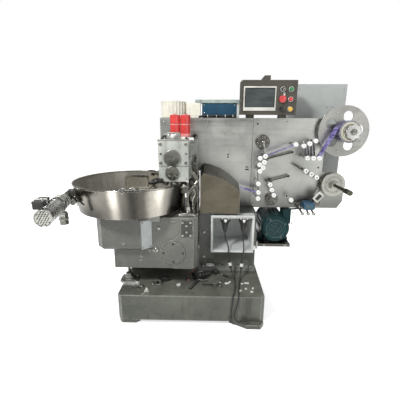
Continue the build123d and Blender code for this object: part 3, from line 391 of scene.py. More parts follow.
class Tree:
    """Adds nodes to one node tree and joins them."""

    def __init__(self, tree: bpy.types.NodeTree, fresh: bool = True) -> None:
        """Takes a node tree, and empties it if it is to start fresh."""
        self.tree = tree
        if fresh:
            tree.nodes.clear()

    def add(self, kind: str, inputs: dict | None = None, **settings: object) -> bpy.types.Node:
        """Adds a node.

        Args:
            kind: Blender's name of the node type.
            inputs: Values or other nodes' outputs for its sockets, by name or number.
            settings: The node's own properties.

        Returns:
            The new node.
        """
        node = self.tree.nodes.new(kind)
        node.location = (200 * (len(self.tree.nodes) % 12), -260 * (len(self.tree.nodes) // 12))
        for name, value in settings.items():
            setattr(node, name, value)
        for key, value in (inputs or {}).items():
            self.feed(node.inputs[key], value)
        return node

    def feed(self, socket: bpy.types.NodeSocket, value: object) -> None:
        """Links an output to a socket, or sets the socket's own value."""
        if isinstance(value, bpy.types.NodeSocket):
            self.tree.links.new(value, socket)
        else:
            socket.default_value = value

    def calc(self, operation: str, *values: object, clamp: bool = False) -> bpy.types.NodeSocket:
        """Result of a Math node on the given values."""
        return self.add(
            "ShaderNodeMath", dict(enumerate(values)), operation=operation, use_clamp=clamp
        ).outputs[0]

    def mix(
        self, factor: object, first: object, second: object, how: str = "MIX"
    ) -> bpy.types.NodeSocket:
        """Colour between two, by a factor."""
        values = {0: factor, 6: rgba(first), 7: rgba(second)}
        return self.add("ShaderNodeMix", values, data_type="RGBA", blend_type=how).outputs[2]

    def remap(
        self, value: object, low: float, high: float, out_low: float = 0.0, out_high: float = 1.0
    ) -> bpy.types.NodeSocket:
        """Smooth step of a value from one range to another."""
        values = {0: value, 1: low, 2: high, 3: out_low, 4: out_high}
        return self.add("ShaderNodeMapRange", values, interpolation_type="SMOOTHSTEP").outputs[0]

    def noise(
        self, vector: object, scale: float, detail: float = 3.0, roughness: float = 0.55
    ) -> bpy.types.NodeSocket:
        """Noise of a vector, from 0 to 1."""
        values = {"Vector": vector, "Scale": scale, "Detail": detail, "Roughness": roughness}
        return self.add("ShaderNodeTexNoise", values).outputs["Fac"]

    def vector(self, operation: str, *values: object) -> bpy.types.NodeSocket:
        """Result of a Vector Math node: a number for a dot product or a length, else a vector."""
        node = self.add("ShaderNodeVectorMath", dict(enumerate(values)), operation=operation)
        return node.outputs["Value" if operation in ("DOT_PRODUCT", "LENGTH") else "Vector"]

    def part(self, vector: object, axis: int) -> bpy.types.NodeSocket:
        """One of a vector's three parts."""
        return self.add("ShaderNodeSeparateXYZ", {0: vector}).outputs[axis]

    def grey(self, level: object) -> bpy.types.NodeSocket:
        """Grey of a level."""
        return self.add("ShaderNodeCombineColor", {0: level, 1: level, 2: level}).outputs[0]

    def bump(
        self, strength: float, distance: float, height: object, normal: object
    ) -> bpy.types.NodeSocket:
        """Normal that a height field leans, by its strength and its depth in metres."""
        values = {"Strength": strength, "Distance": distance, "Height": height, "Normal": normal}
        return self.add("ShaderNodeBump", values).outputs[0]

    def effect(self, group: bpy.types.NodeTree, **inputs: object) -> dict[str, bpy.types.NodeSocket]:
        """Adds a shared effect and gives its outputs by name.

        Args:
            group: The effect's node group.
            inputs: Values or sockets for its inputs, by name.

        Returns:
            Its outputs by name.
        """
        node = self.add("ShaderNodeGroup", node_tree=group)
        for name, value in inputs.items():
            self.feed(node.inputs[name], value)
        return {o.name: o for o in node.outputs}

    def place_of(self) -> bpy.types.NodeSocket:
        """Object coordinates, which a piece at the origin shares with the frame."""
        return self.add("ShaderNodeTexCoord").outputs["Object"]


def rgba(colour: object) -> object:
    """A plain colour with full alpha, or the socket as it is."""
    return (*colour, 1.0) if isinstance(colour, tuple) and len(colour) == 3 else colour


class Effects:
    """Effects that the finishes share, each a node group with outputs for masks, values or normals."""

    def __init__(self) -> None:
        """Makes every group once."""
        self.patina = self._patina()
        self.edges = self._edges()
        self.brushing = self._brushing()
        self.dust = self._dust()
        self.runs = self._runs()

    @staticmethod
    def _begin(
        name: str, inputs: dict[str, float | None], outputs: dict[str, str]
    ) -> tuple[Tree, dict, bpy.types.Node]:
        """Starts a group.

        Args:
            name: The group's name.
            inputs: Names with their default, or None for a vector.
            outputs: Names with Float, Vector or Color.

        Returns:
            The tree, its inputs by name and the output node.
        """
        group = bpy.data.node_groups.new(name, "ShaderNodeTree")
        tree = Tree(group)
        for label, value in inputs.items():
            kind = "NodeSocketVector" if value is None else "NodeSocketFloat"
            socket = group.interface.new_socket(label, in_out="INPUT", socket_type=kind)
            if value is not None:
                socket.default_value = value
        for label, kind in outputs.items():
            group.interface.new_socket(label, in_out="OUTPUT", socket_type=f"NodeSocket{kind}")
        given = tree.add("NodeGroupInput")
        return tree, {s.name: s for s in given.outputs if s.name}, tree.add("NodeGroupOutput")

    def _patina(self) -> bpy.types.NodeTree:
        """Broad cloudy tone, and fine speckle for paint and bare metal.

        Returns:
            The node group.
        """
        tree, given, out = self._begin(
            "patina", {"Vector": None, "Size": 1.0},
            {"Cloud": "Float", "Speckle": "Float", "Stain": "Float"}
        )
        size = given["Size"]
        scaled = tree.add(
            "ShaderNodeVectorMath", {0: given["Vector"], 3: size}, operation="SCALE"
        ).outputs[0]
        cloud = tree.noise(scaled, 5.0, 4.0, 0.6)
        speckle = tree.noise(scaled, 130.0, 2.0, 0.5)
        blot = tree.noise(scaled, 17.0, 5.0, 0.65)
        tree.feed(out.inputs["Cloud"], cloud)
        tree.feed(out.inputs["Speckle"], speckle)
        tree.feed(out.inputs["Stain"], tree.remap(blot, 0.52, 0.72))
        return out.id_data

    def _edges(self) -> bpy.types.NodeTree:
        """Mask of edges and corners, and a normal that rounds them: the turn between the surface's
        normal and its mean over the radius.

        Returns:
            The node group.
        """
        # The mask serves both wear and a painted highlight along every edge.
        tree, given, out = self._begin(
            "worn_and_lit_edges", {"Vector": None, "Radius": 0.003},
            {"Mask": "Float", "Chips": "Float", "Normal": "Vector"}
        )
        mean = tree.add("ShaderNodeBevel", {"Radius": given["Radius"]}, samples=4).outputs[0]
        flat = tree.add("ShaderNodeNewGeometry").outputs["Normal"]
        same = tree.vector("DOT_PRODUCT", mean, flat)
        mask = tree.remap(tree.calc("SUBTRACT", 1.0, same), 0.006, 0.09)
        broken = tree.remap(tree.noise(given["Vector"], 46.0, 5.0, 0.7), 0.44, 0.6)
        tree.feed(out.inputs["Mask"], mask)
        tree.feed(out.inputs["Chips"], tree.calc("MULTIPLY", mask, broken))
        tree.feed(out.inputs["Normal"], mean)
        return out.id_data

    def _brushing(self) -> bpy.types.NodeTree:
        """Fine parallel lines: noise stretched along the given grain.

        Returns:
            The node group.
        """
        tree, given, out = self._begin(
            "brushing", {"Vector": None, "Grain": None}, {"Line": "Float", "Tone": "Float"}
        )
        lines = tree.vector("MULTIPLY", given["Vector"], given["Grain"])
        tree.feed(out.inputs["Line"], tree.noise(lines, 9.0, 3.0, 0.6))
        tree.feed(out.inputs["Tone"], tree.noise(lines, 1.3, 2.0, 0.5))
        return out.id_data

    def _dust(self) -> bpy.types.NodeTree:
        """Settled dust: faces that look up, broken by noise.

        Returns:
            The node group.
        """
        tree, given, out = self._begin(
            "settled_dust", {"Vector": None, "Amount": 0.5}, {"Mask": "Float"}
        )
        normal = tree.add("ShaderNodeNewGeometry").outputs["Normal"]
        up = tree.remap(tree.part(normal, 2), 0.35, 0.95)
        patchy = tree.remap(tree.noise(given["Vector"], 14.0, 6.0, 0.7), 0.3, 0.75)
        tree.feed(out.inputs["Mask"], tree.calc(
            "MULTIPLY", tree.calc("MULTIPLY", up, patchy), given["Amount"]
        ))
        return out.id_data

    def _runs(self) -> bpy.types.NodeTree:
        """Oil and dirt that ran down: noise drawn out along Z.

        Returns:
            The node group.
        """
        tree, given, out = self._begin("runs", {"Vector": None, "Amount": 0.5}, {"Mask": "Float"})
        tall = tree.vector("MULTIPLY", given["Vector"], (22.0, 22.0, 1.6))
        line = tree.remap(tree.noise(tall, 1.0, 4.0, 0.6), 0.5, 0.78)
        patch = tree.remap(tree.noise(given["Vector"], 3.0, 2.0), 0.42, 0.62)
        tree.feed(out.inputs["Mask"], tree.calc(
            "MULTIPLY", tree.calc("MULTIPLY", line, patch), given["Amount"]
        ))
        return out.id_data


def new_material(name: str) -> tuple[bpy.types.Material, Tree, bpy.types.Node]:
    """Starts a material with an empty tree and a Principled shader on its output.

    Args:
        name: The material's name.

    Returns:
        The material, its tree and its shader.
    """
    material = bpy.data.materials.new(name)
    material.use_nodes = True
    tree = Tree(material.node_tree)
    shader = tree.add("ShaderNodeBsdfPrincipled")
    output = tree.add("ShaderNodeOutputMaterial")
    tree.feed(output.inputs["Surface"], shader.outputs[0])
    return material, tree, shader


def shade(colour: Colour, factor: float) -> Colour:
    """The colour times a factor."""
    return tuple(c * factor for c in colour)


@dataclass(frozen=True)
class Enamel:
    """Machine paint: cloudy tone, chipped edges with a painted highlight along them, runs of oil, settled
    dust, painted shade towards the bottom where set, and a fine orange peel.
    """

    name: str
    colour: Colour
    roughness: float = 0.4
    bare_and_edge_light: Colour = (0.36, 0.35, 0.32)
    dirt: Colour = (0.03, 0.028, 0.02)
    dust_colour: Colour = (0.3, 0.29, 0.25)
    edge_wear_and_light: float = 0.5
    grime: float = 0.5
    dust: float = 0.3
    cloud: float = 0.22
    peel: float = 0.06
    metallic: float = 0.0
    # Painted shade towards the bottom: full colour above the second height, times the factor below the
    # first.
    painted_shade_below: Point = (0.0, 1.0, 1.0)
    # Width of the edges that are chipped and painted lighter as a highlight.
    rim: float = 0.003
    gloss: float = 0.45

    def material(self, effects: Effects) -> bpy.types.Material:
        """Builds the paint's material from the shared effects.

        Args:
            effects: The shared node groups.

        Returns:
            The material.
        """
        material, tree, shader = new_material(self.name)
        place = tree.place_of()
        patina = tree.effect(effects.patina, Vector=place)
        edge = tree.effect(effects.edges, Vector=place, Radius=self.rim)
        cloud = tree.remap(patina["Cloud"], 0.3, 0.7)
        colour = tree.mix(
            cloud, shade(self.colour, 1 - self.cloud), shade(self.colour, 1 + self.cloud * 0.6)
        )
        runs = tree.effect(effects.runs, Vector=place, Amount=self.grime)["Mask"]
        colour = tree.mix(runs, colour, self.dirt)
        stain = tree.calc("MULTIPLY", patina["Stain"], self.grime * 0.45)
        colour = tree.mix(stain, colour, shade(self.colour, 0.45))
        # Painted highlight along every edge, towards the bare colour; the chips after it are real wear.
        colour = tree.mix(
            tree.calc("MULTIPLY", edge["Mask"], self.edge_wear_and_light * 0.55), colour, shade(self.bare_and_edge_light, 0.9)
        )
        colour = tree.mix(tree.calc("MULTIPLY", edge["Chips"], self.edge_wear_and_light), colour, self.bare_and_edge_light)
        dust = tree.effect(effects.dust, Vector=place, Amount=self.dust)["Mask"]
        colour = tree.mix(dust, colour, self.dust_colour)
        # Painted shade: darker towards the bottom.
        level = tree.remap(tree.part(place, 2), *self.painted_shade_below, 1.0)
        colour = tree.mix(1.0, colour, tree.grey(level), "MULTIPLY")
        rough = tree.remap(patina["Cloud"], 0.3, 0.7, self.roughness - 0.08, self.roughness + 0.1)
        rough = tree.calc("ADD", rough, tree.calc("MULTIPLY", dust, 0.4), clamp=True)
        bump = tree.bump(self.peel, 0.002, patina["Speckle"], edge["Normal"])
        tree.feed(shader.inputs["Base Color"], colour)
        tree.feed(shader.inputs["Roughness"], rough)
        tree.feed(shader.inputs["Normal"], bump)
        shader.inputs["Metallic"].default_value = self.metallic
        shader.inputs["Specular IOR Level"].default_value = self.gloss
        return material


@dataclass(frozen=True)
class Steel:
    """Bare metal: brushed lines along a grain, smudges, edges painted brighter for wear and highlight,
    painted shade towards the bottom where set, and a thin film of oil.
    """

    name: str
    colour: Colour
    roughness: float = 0.32
    grain: Point = (1.5, 60.0, 60.0)
    lines: float = 0.12
    smudge: float = 0.25
    stain: Colour = (0.09, 0.075, 0.05)
    edge_wear_and_light: float = 0.4
    dust: float = 0.1
    runs: float = 0.2
    peel: float = 0.05
    # Painted shade towards the bottom: full colour above the second height, times the factor below the
    # first.
    painted_shade_below: Point = (0.0, 1.0, 1.0)
    metallic: float = 1.0

    def tone(self, tree: Tree, place: bpy.types.NodeSocket) -> object:
        """Colour of the clean metal, the same all over here."""
        return self.colour

    def material(self, effects: Effects) -> bpy.types.Material:
        """Builds the metal's material from the shared effects.

        Args:
            effects: The shared node groups.

        Returns:
            The material.
        """
        material, tree, shader = new_material(self.name)
        place = tree.place_of()
        patina = tree.effect(effects.patina, Vector=place)
        edge = tree.effect(effects.edges, Vector=place, Radius=0.0025)
        lines = tree.effect(effects.brushing, Vector=place, Grain=self.grain)
        colour = self.tone(tree, place)
        both = tree.calc(
            "ADD", tree.calc("MULTIPLY", lines["Line"], 0.5), tree.calc("MULTIPLY", lines["Tone"], 0.5)
        )
        level = tree.remap(both, 0.3, 0.7, 1 - self.lines, 1 + self.lines)
        level = tree.calc(
            "MULTIPLY", level, tree.remap(patina["Cloud"], 0.3, 0.7, 1 - self.smudge, 1.0)
        )
        # Painted shade: darker towards the bottom.
        level = tree.calc("MULTIPLY", level, tree.remap(tree.part(place, 2), *self.painted_shade_below, 1.0))
        colour = tree.mix(1.0, colour, tree.grey(level), "MULTIPLY")
        colour = tree.mix(tree.calc("MULTIPLY", patina["Stain"], self.smudge * 0.7), colour, self.stain)
        runs = tree.effect(effects.runs, Vector=place, Amount=self.runs)["Mask"]
        colour = tree.mix(runs, colour, self.stain)
        # Painted highlight and wear along every edge.
        colour = tree.mix(tree.calc("MULTIPLY", edge["Mask"], self.edge_wear_and_light), colour, (0.75, 0.74, 0.7))
        dust = tree.effect(effects.dust, Vector=place, Amount=self.dust)["Mask"]
        colour = tree.mix(dust, colour, (0.32, 0.31, 0.27))
        rough = tree.remap(both, 0.25, 0.75, self.roughness - 0.07, self.roughness + 0.09)
        rough = tree.calc("ADD", rough, tree.remap(patina["Cloud"], 0.4, 0.8, 0.0, 0.16), clamp=True)
        height = tree.calc("ADD", lines["Line"], patina["Speckle"])
        bump = tree.bump(self.peel, 0.001, height, edge["Normal"])
        tree.feed(shader.inputs["Base Color"], colour)
        tree.feed(shader.inputs["Roughness"], rough)
        tree.feed(shader.inputs["Normal"], bump)
        tree.feed(shader.inputs["Metallic"], self.sheen(tree, place))
        return material

    def sheen(self, tree: Tree, place: bpy.types.NodeSocket) -> object:
        """How metallic the surface is, the same all over here."""
        return self.metallic


@dataclass(frozen=True)
class PanSteel(Steel):
    """Polished pan sheet: painted reflections as tall soft bands round the pan's axis, painted darker
    towards the floor, and duller inside.
    """

    centre: Pair = (-0.389, -0.084)
    low: float = 0.69
    high: float = 0.83
    inner: float = 0.42
    rim_painted_reflections: Pairs = ()
    floor_painted_reflections: Pairs = ()

    def spot(self, tree: Tree, place: bpy.types.NodeSocket) -> bpy.types.NodeSocket:
        """The place as seen from the pan's axis."""
        return tree.vector("ADD", place, (
            -(self.centre[0] + BASE[0]), -(self.centre[1] + BASE[1]), 0.0
        ))

    def ramp(self, tree: Tree, around: bpy.types.NodeSocket, bands: Pairs) -> bpy.types.NodeSocket:
        """Painted reflections by angle: a ramp with one stop for each band.

        Args:
            tree: The material's tree.
            around: Angle from 0 to 1.
            bands: Degrees from the front, and tone, in order.

        Returns:
            The ramp's colour.
        """
        ramp = tree.add("ShaderNodeValToRGB", {0: around})
        ramp.color_ramp.interpolation = "EASE"
        stops = ramp.color_ramp.elements
        for number, (degrees, level) in enumerate(bands):
            stop = stops[number] if number < 2 else stops.new(1.0)
            stop.position = degrees / 360 + 0.5
            stop.color = (*shade(self.colour, level), 1.0)
        return ramp.outputs[0]

    def tone(self, tree: Tree, place: bpy.types.NodeSocket) -> object:
        """Painted reflections: colour by the angle about the pan's axis and by height, and plain where a
        face looks inwards.

        Args:
            tree: The material's tree.
            place: Object coordinates.

        Returns:
            The colour's output socket.
        """
        spot = self.spot(tree, place)
        parts = tree.add("ShaderNodeSeparateXYZ", {0: spot})
        angle = tree.calc("ARCTAN2", parts.outputs[0], tree.calc("MULTIPLY", parts.outputs[1], -1.0))
        wander = tree.calc("MULTIPLY", tree.calc("SUBTRACT", tree.noise(place, 5.0, 3.0), 0.5), 0.022)
        around = tree.calc("ADD", tree.calc(
            "ADD", tree.calc("DIVIDE", angle, 2 * math.pi), 0.5
        ), wander)
        # Painted reflections: the floor's darker bands blend into the rim's brighter bands with height.
        height = tree.remap(parts.outputs[2], self.low, self.high)
        outside = tree.mix(
            height, self.ramp(tree, around, self.floor_painted_reflections), self.ramp(tree, around, self.rim_painted_reflections)
        )
        return tree.mix(self.outward(tree, spot), shade(self.colour, self.inner), outside)

    def outward(self, tree: Tree, spot: bpy.types.NodeSocket) -> bpy.types.NodeSocket:
        """Tells the pan's outside from its inside.

        Args:
            tree: The material's tree.
            spot: The place as seen from the pan's axis.

        Returns:
            1 where the face looks away from the axis and 0 where it looks inwards.
        """
        flat = tree.vector("MULTIPLY", spot, (1.0, 1.0, 0.0))
        normal = tree.add("ShaderNodeNewGeometry").outputs["Normal"]
        return tree.remap(tree.vector("DOT_PRODUCT", normal, flat), 0.0, 0.12)

    def sheen(self, tree: Tree, place: bpy.types.NodeSocket) -> object:
        """Fully metallic outside, and duller inside, where product dust settles."""
        return tree.remap(self.outward(tree, self.spot(tree, place)), 0.0, 1.0, 0.35, 1.0)


@dataclass(frozen=True)
class TurnedSteel(Steel):
    """Lathe-turned face: fine rings about an axis along Y, whose highlight opens as a fan."""

    centre: Pair = (0.0, 0.0)
    rings: float = 900.0
    ring_depth: float = 0.12

    def spot(self, tree: Tree, place: bpy.types.NodeSocket) -> bpy.types.NodeSocket:
        """The place as seen from the lathe's axis."""
        return tree.vector("ADD", place, (-(self.centre[0] + BASE[0]), 0.0, -self.centre[1]))

    def tone(self, tree: Tree, place: bpy.types.NodeSocket) -> object:
        """Colour by the distance from the axis in X and Z: noise drawn along each ring.

        Args:
            tree: The material's tree.
            place: Object coordinates.

        Returns:
            The colour's output socket.
        """
        away = tree.vector("LENGTH", tree.vector("MULTIPLY", self.spot(tree, place), (1.0, 0.0, 1.0)))
        line = tree.add("ShaderNodeCombineXYZ", {0: tree.calc("MULTIPLY", away, self.rings)})
        wave = tree.noise(line.outputs[0], 1.0, 2.0)
        level = tree.remap(wave, 0.3, 0.7, 1 - self.ring_depth, 1 + self.ring_depth)
        return tree.mix(1.0, self.colour, tree.grey(level), "MULTIPLY")

    def material(self, effects: Effects) -> bpy.types.Material:
        """Builds the metal as Steel does, and turns its highlight about the axis: tangent = spot x axis.

        Args:
            effects: The shared node groups.

        Returns:
            The material.
        """
        material = super().material(effects)
        nodes = material.node_tree.nodes
        shader = next(n for n in nodes if n.type == "BSDF_PRINCIPLED")
        tree = Tree(material.node_tree, fresh=False)
        tangent = tree.vector("CROSS_PRODUCT", self.spot(tree, tree.place_of()), (0.0, 1.0, 0.0))
        tree.feed(shader.inputs["Tangent"], tangent)
        shader.inputs["Anisotropic"].default_value = 0.75
        return material


@dataclass(frozen=True)
class Plastic:
    """Moulded plastic or rubber: fine texture, handling marks and a little dust."""

    name: str
    colour: Colour
    roughness: float = 0.45
    texture: float = 0.05
    dust: float = 0.2
    mark: float = 0.18
    coat: float = 0.0

    def material(self, effects: Effects) -> bpy.types.Material:
        """Builds the plastic's material from the shared effects.

        Args:
            effects: The shared node groups.

        Returns:
            The material.
        """
        material, tree, shader = new_material(self.name)
        place = tree.place_of()
        patina = tree.effect(effects.patina, Vector=place, Size=1.6)
        edge = tree.effect(effects.edges, Vector=place, Radius=0.0015)
        cloud = tree.remap(patina["Cloud"], 0.3, 0.7)
        colour = tree.mix(
            cloud, shade(self.colour, 1 - self.mark), shade(self.colour, 1 + self.mark * 0.5)
        )
        colour = tree.mix(
            tree.calc("MULTIPLY", patina["Stain"], self.mark), colour, shade(self.colour, 0.5)
        )
        # Edges painted lighter, as wear and as a highlight.
        colour = tree.mix(tree.calc("MULTIPLY", edge["Mask"], 0.15), colour, (0.4, 0.4, 0.38))
        dust = tree.effect(effects.dust, Vector=place, Amount=self.dust)["Mask"]
        colour = tree.mix(dust, colour, (0.3, 0.29, 0.26))
        rough = tree.remap(patina["Cloud"], 0.3, 0.7, self.roughness - 0.06, self.roughness + 0.1)
        bump = tree.bump(self.texture, 0.001, patina["Speckle"], edge["Normal"])
        tree.feed(shader.inputs["Base Color"], colour)
        tree.feed(shader.inputs["Roughness"], rough)
        tree.feed(shader.inputs["Normal"], bump)
        shader.inputs["Coat Weight"].default_value = self.coat
        shader.inputs["Coat Roughness"].default_value = 0.08
        return material


@dataclass(frozen=True)
class Glass:
    """Dark display glass: nearly black, glossy, with wiped smears."""

    name: str
    colour: Colour

    def material(self, effects: Effects) -> bpy.types.Material:
        """Builds the glass's material from the shared effects.

        Args:
            effects: The shared node groups.

        Returns:
            The material.
        """
        material, tree, shader = new_material(self.name)
        place = tree.place_of()
        smear = tree.remap(tree.noise(
            tree.vector("MULTIPLY", place, (3.0, 3.0, 12.0)), 2.2, 4.0
        ), 0.35, 0.7)
        patina = tree.effect(effects.patina, Vector=place, Size=2.0)
        tree.feed(shader.inputs["Base Color"], tree.mix(
            smear, shade(self.colour, 0.85), shade(self.colour, 1.25)
        ))
        rough = tree.calc(
            "ADD", tree.remap(smear, 0.0, 1.0, 0.08, 0.2), tree.calc("MULTIPLY", patina["Stain"], 0.06)
        )
        tree.feed(shader.inputs["Roughness"], rough)
        shader.inputs["Coat Weight"].default_value = 0.6
        shader.inputs["Coat Roughness"].default_value = 0.05
        return material


@dataclass(frozen=True)
class Film:
    """Wound printed film: coloured layers with wound rings, a plastic sheen and faint creases."""

    name: str
    colour: Colour
    pale: Colour
    roughness: float = 0.28

    def material(self, effects: Effects) -> bpy.types.Material:
        """Builds the film's material from the shared effects.

        Args:
            effects: The shared node groups.

        Returns:
            The material.
        """
        material, tree, shader = new_material(self.name)
        place = tree.place_of()
        patina = tree.effect(effects.patina, Vector=place, Size=2.4)
        crease = tree.noise(tree.vector("MULTIPLY", place, (40.0, 8.0, 40.0)), 1.6, 4.0, 0.7)
        band = tree.remap(crease, 0.42, 0.62)
        colour = tree.mix(band, self.colour, self.pale)
        colour = tree.mix(tree.calc("MULTIPLY", patina["Cloud"], 0.35), colour, shade(self.colour, 0.5))
        bump = tree.add("ShaderNodeBump", {"Strength": 0.25, "Distance": 0.002, "Height": crease})
        tree.feed(shader.inputs["Base Color"], colour)
        tree.feed(shader.inputs["Roughness"], tree.remap(
            crease, 0.3, 0.7, self.roughness - 0.06, self.roughness + 0.12
        ))
        tree.feed(shader.inputs["Normal"], bump.outputs[0])
        shader.inputs["Coat Weight"].default_value = 0.4
        return material


Finish = Enamel | Steel | Plastic | Glass | Film

# Painted reflections and highlights on the pan's outside, as degrees from the front and tone: near the
# rim, then near the floor.
RIM_PAINTED_REFLECTIONS = (
    (
        -180, 0.5
    ), (-100, 0.4), (-70, 0.28), (-52, 0.3), (-40, 0.62), (-30, 0.4), (-10, 0.27), (-2, 1.1), (4, 0.24),
    (
        14, 0.06
    ), (23, 0.14), (31, 0.6), (40, 1.2), (48, 0.4), (58, 0.06), (90, 0.12), (130, 0.5), (180, 0.5),
)
FLOOR_PAINTED_REFLECTIONS = (
    (-180, 0.3), (-90, 0.1), (-56, 0.12), (-40, 0.07), (-22, 0.1), (-10, 0.2), (-2, 0.5), (6, 0.14),
    (15, 0.06), (24, 0.12), (32, 0.6), (41, 0.7), (49, 0.4), (58, 0.05), (100, 0.12), (180, 0.3),
)

FINISHES = {
    Slot.BASE_PAINT: Enamel(
        "base_enamel", (0.1, 0.106, 0.085), 0.32, bare_and_edge_light=(0.55, 0.54, 0.49), edge_wear_and_light=0.9, grime=0.9,
        dust=0.2, cloud=0.35, rim=0.007
    ),
    # The body paint has painted shade towards the bottom.
    Slot.BODY_PAINT: Enamel(
        "body_enamel", (0.14, 0.143, 0.124), 0.25, bare_and_edge_light=(0.62, 0.61, 0.56), edge_wear_and_light=0.9, grime=0.45,
        dust=0.06, painted_shade_below=(0.36, 0.64, 0.75), rim=0.006
    ),
    Slot.DARK_PAINT: Enamel("column_enamel", (0.122, 0.128, 0.11), 0.3, edge_wear_and_light=0.6, grime=0.5, dust=0.1),
    Slot.CABINET_PAINT: Enamel(
        "cabinet_enamel", (0.40, 0.42, 0.405), 0.45, edge_wear_and_light=0.3, grime=0.2, dust=0.2, cloud=0.1
    ),
    Slot.HEAD_PAINT: Enamel(
        "head_enamel", (0.44, 0.46, 0.42), 0.28, bare_and_edge_light=(0.7, 0.7, 0.66), edge_wear_and_light=0.6, grime=0.4, dust=0.1
    ),
    # The plate has painted shade towards its lower edge.
    Slot.PLATE_STEEL: Steel(
        "plate_steel", (0.44, 0.445, 0.415), 0.32, grain=(1.2, 40.0, 60.0), lines=0.07, smudge=0.22,
        edge_wear_and_light=0.3, runs=0.1, painted_shade_below=(0.6, 0.86, 0.38)
    ),
    Slot.POLISHED_STEEL: PanSteel(
        "pan_steel", (0.7, 0.66, 0.58), 0.2, grain=(14.0, 14.0, 1.2), lines=0.14, smudge=0.16, edge_wear_and_light=0.6,
        runs=0.1, rim_painted_reflections=RIM_PAINTED_REFLECTIONS, floor_painted_reflections=FLOOR_PAINTED_REFLECTIONS
    ),
    Slot.MACHINED_STEEL: Steel("machined_steel", (0.4, 0.395, 0.365), 0.24, smudge=0.35, edge_wear_and_light=0.6),
    Slot.DARK_STEEL: Steel("dark_steel", (0.1, 0.095, 0.075), 0.3, smudge=0.3, edge_wear_and_light=0.35),
    Slot.CAST_METAL: Steel(
        "cast_metal", (0.36, 0.36, 0.33), 0.42, smudge=0.25, peel=0.2, edge_wear_and_light=0.4, dust=0.2
    ),
    Slot.MOTOR_GREY: Enamel("motor_grey", (0.21, 0.214, 0.196), 0.36, dust=0.25),
    Slot.MOTOR_TEAL: Enamel(
        "motor_teal", (0.006, 0.03, 0.032), 0.36, dust=0.02, edge_wear_and_light=0.25, gloss=0.15,
        bare_and_edge_light=(0.12, 0.2, 0.2)
    ),
    Slot.BOX_PAINT: Enamel("box_enamel", (0.59, 0.61, 0.595), 0.42, edge_wear_and_light=0.35, grime=0.35, dust=0.05),
    Slot.PANEL_PAINT: Enamel(
        "panel_enamel", (0.068, 0.062, 0.048), 0.38, edge_wear_and_light=0.3, grime=0.2, dust=0.1
    ),
    Slot.BEZEL_PLASTIC: Plastic("bezel_plastic", (0.6, 0.59, 0.53), 0.45),
    Slot.SCREEN_GLASS: Glass("screen_glass", (0.06, 0.068, 0.07)),
    Slot.BUTTON_PLASTIC: Plastic("button_plastic", (0.02, 0.02, 0.02), 0.3, coat=0.3),
    Slot.BLACK_PLASTIC: Plastic("black_plastic", (0.018, 0.018, 0.017), 0.4),
    Slot.BLACK_RUBBER: Plastic("black_rubber", (0.014, 0.014, 0.014), 0.5, texture=0.08),
    Slot.CREAM_PLASTIC: Plastic("cream_plastic", (0.76, 0.735, 0.63), 0.42, dust=0.06),
    Slot.WHITE_PLASTIC: Plastic("white_plastic", (0.72, 0.72, 0.68), 0.4, dust=0.1),
    Slot.BLUE_PAINT: Enamel(
        "blue_enamel", (0.012, 0.065, 0.12), 0.35, edge_wear_and_light=0.3, dust=0.1, bare_and_edge_light=(0.2, 0.22, 0.25)
    ),
    Slot.RED_PLASTIC: Plastic("red_plastic", (0.62, 0.05, 0.045), 0.3, coat=0.4),
    Slot.FILM_PURPLE: Film("film_purple", (0.12, 0.08, 0.36), (0.46, 0.42, 0.74)),
}

PALE_ZINC = Steel("pale_zinc", (0.8, 0.8, 0.76), 0.4, smudge=0.1, edge_wear_and_light=0.4, metallic=0.6)
DULL_ZINC = Steel("dull_zinc", (0.34, 0.34, 0.31), 0.36, smudge=0.3, edge_wear_and_light=0.5)
COPPER = Steel("copper", (0.62, 0.33, 0.25), 0.36)
PALE_BRACKET = Enamel("pale_bracket", (0.38, 0.38, 0.35), 0.4, edge_wear_and_light=0.6)
UPPER_DISC = TurnedSteel(
    "upper_disc_steel", (0.15, 0.15, 0.135), 0.3, centre=(-0.115, 0.997), smudge=0.2
)
LOWER_DISC = TurnedSteel(
    "lower_disc_steel", (0.13, 0.128, 0.112), 0.26, centre=(-0.115, 0.908), smudge=0.25
)
PINK_BAND = Plastic("pink_band", (0.72, 0.27, 0.26), 0.35, coat=0.3)
CUP_CAP = Plastic("cup_cap", (0.5, 0.09, 0.09), 0.35, coat=0.3)
# The guard has painted shade towards the bottom.
GUARD_STEEL = Steel(
    "guard_steel", (0.15, 0.135, 0.1), 0.26, grain=(1.5, 40.0, 40.0), smudge=0.45, edge_wear_and_light=0.55,
    painted_shade_below=(0.6, 0.95, 0.75)
)
# Pale roller steel: partly the metal's own colour, partly a painted highlight for the bright streaks along
# the shafts.
ROLLER_STEEL = Steel("roller_steel", (0.68, 0.68, 0.66), 0.3, metallic=0.4)
BLUE_LABEL = Enamel("sensor_plate_enamel", (0.03, 0.11, 0.15), 0.35, dust=0.05)
ROLLER_WHITE = Plastic("roller_white", (0.86, 0.86, 0.84), 0.35, dust=0.04, mark=0.06)
CORE_CREAM = Plastic("core_cream", (0.66, 0.62, 0.5), 0.4)
BOX_RIM = Enamel("box_rim", (0.62, 0.63, 0.61), 0.45, edge_wear_and_light=0.2, grime=0.2, dust=0.05)
# Lighter copy of the motor teal: a painted highlight on the cowl's rings and the shaft cover.
TEAL_EDGE = Enamel("teal_edge", (0.025, 0.13, 0.14), 0.3, dust=0.0, gloss=0.2)
GREEN_CAP = Plastic("green_cap", (0.03, 0.2, 0.07), 0.3, coat=0.4)
RED_CAP = Plastic("red_cap", (0.6, 0.045, 0.05), 0.3, coat=0.4)
YELLOW_CAP = Plastic("yellow_cap", (0.7, 0.42, 0.05), 0.3, coat=0.4)

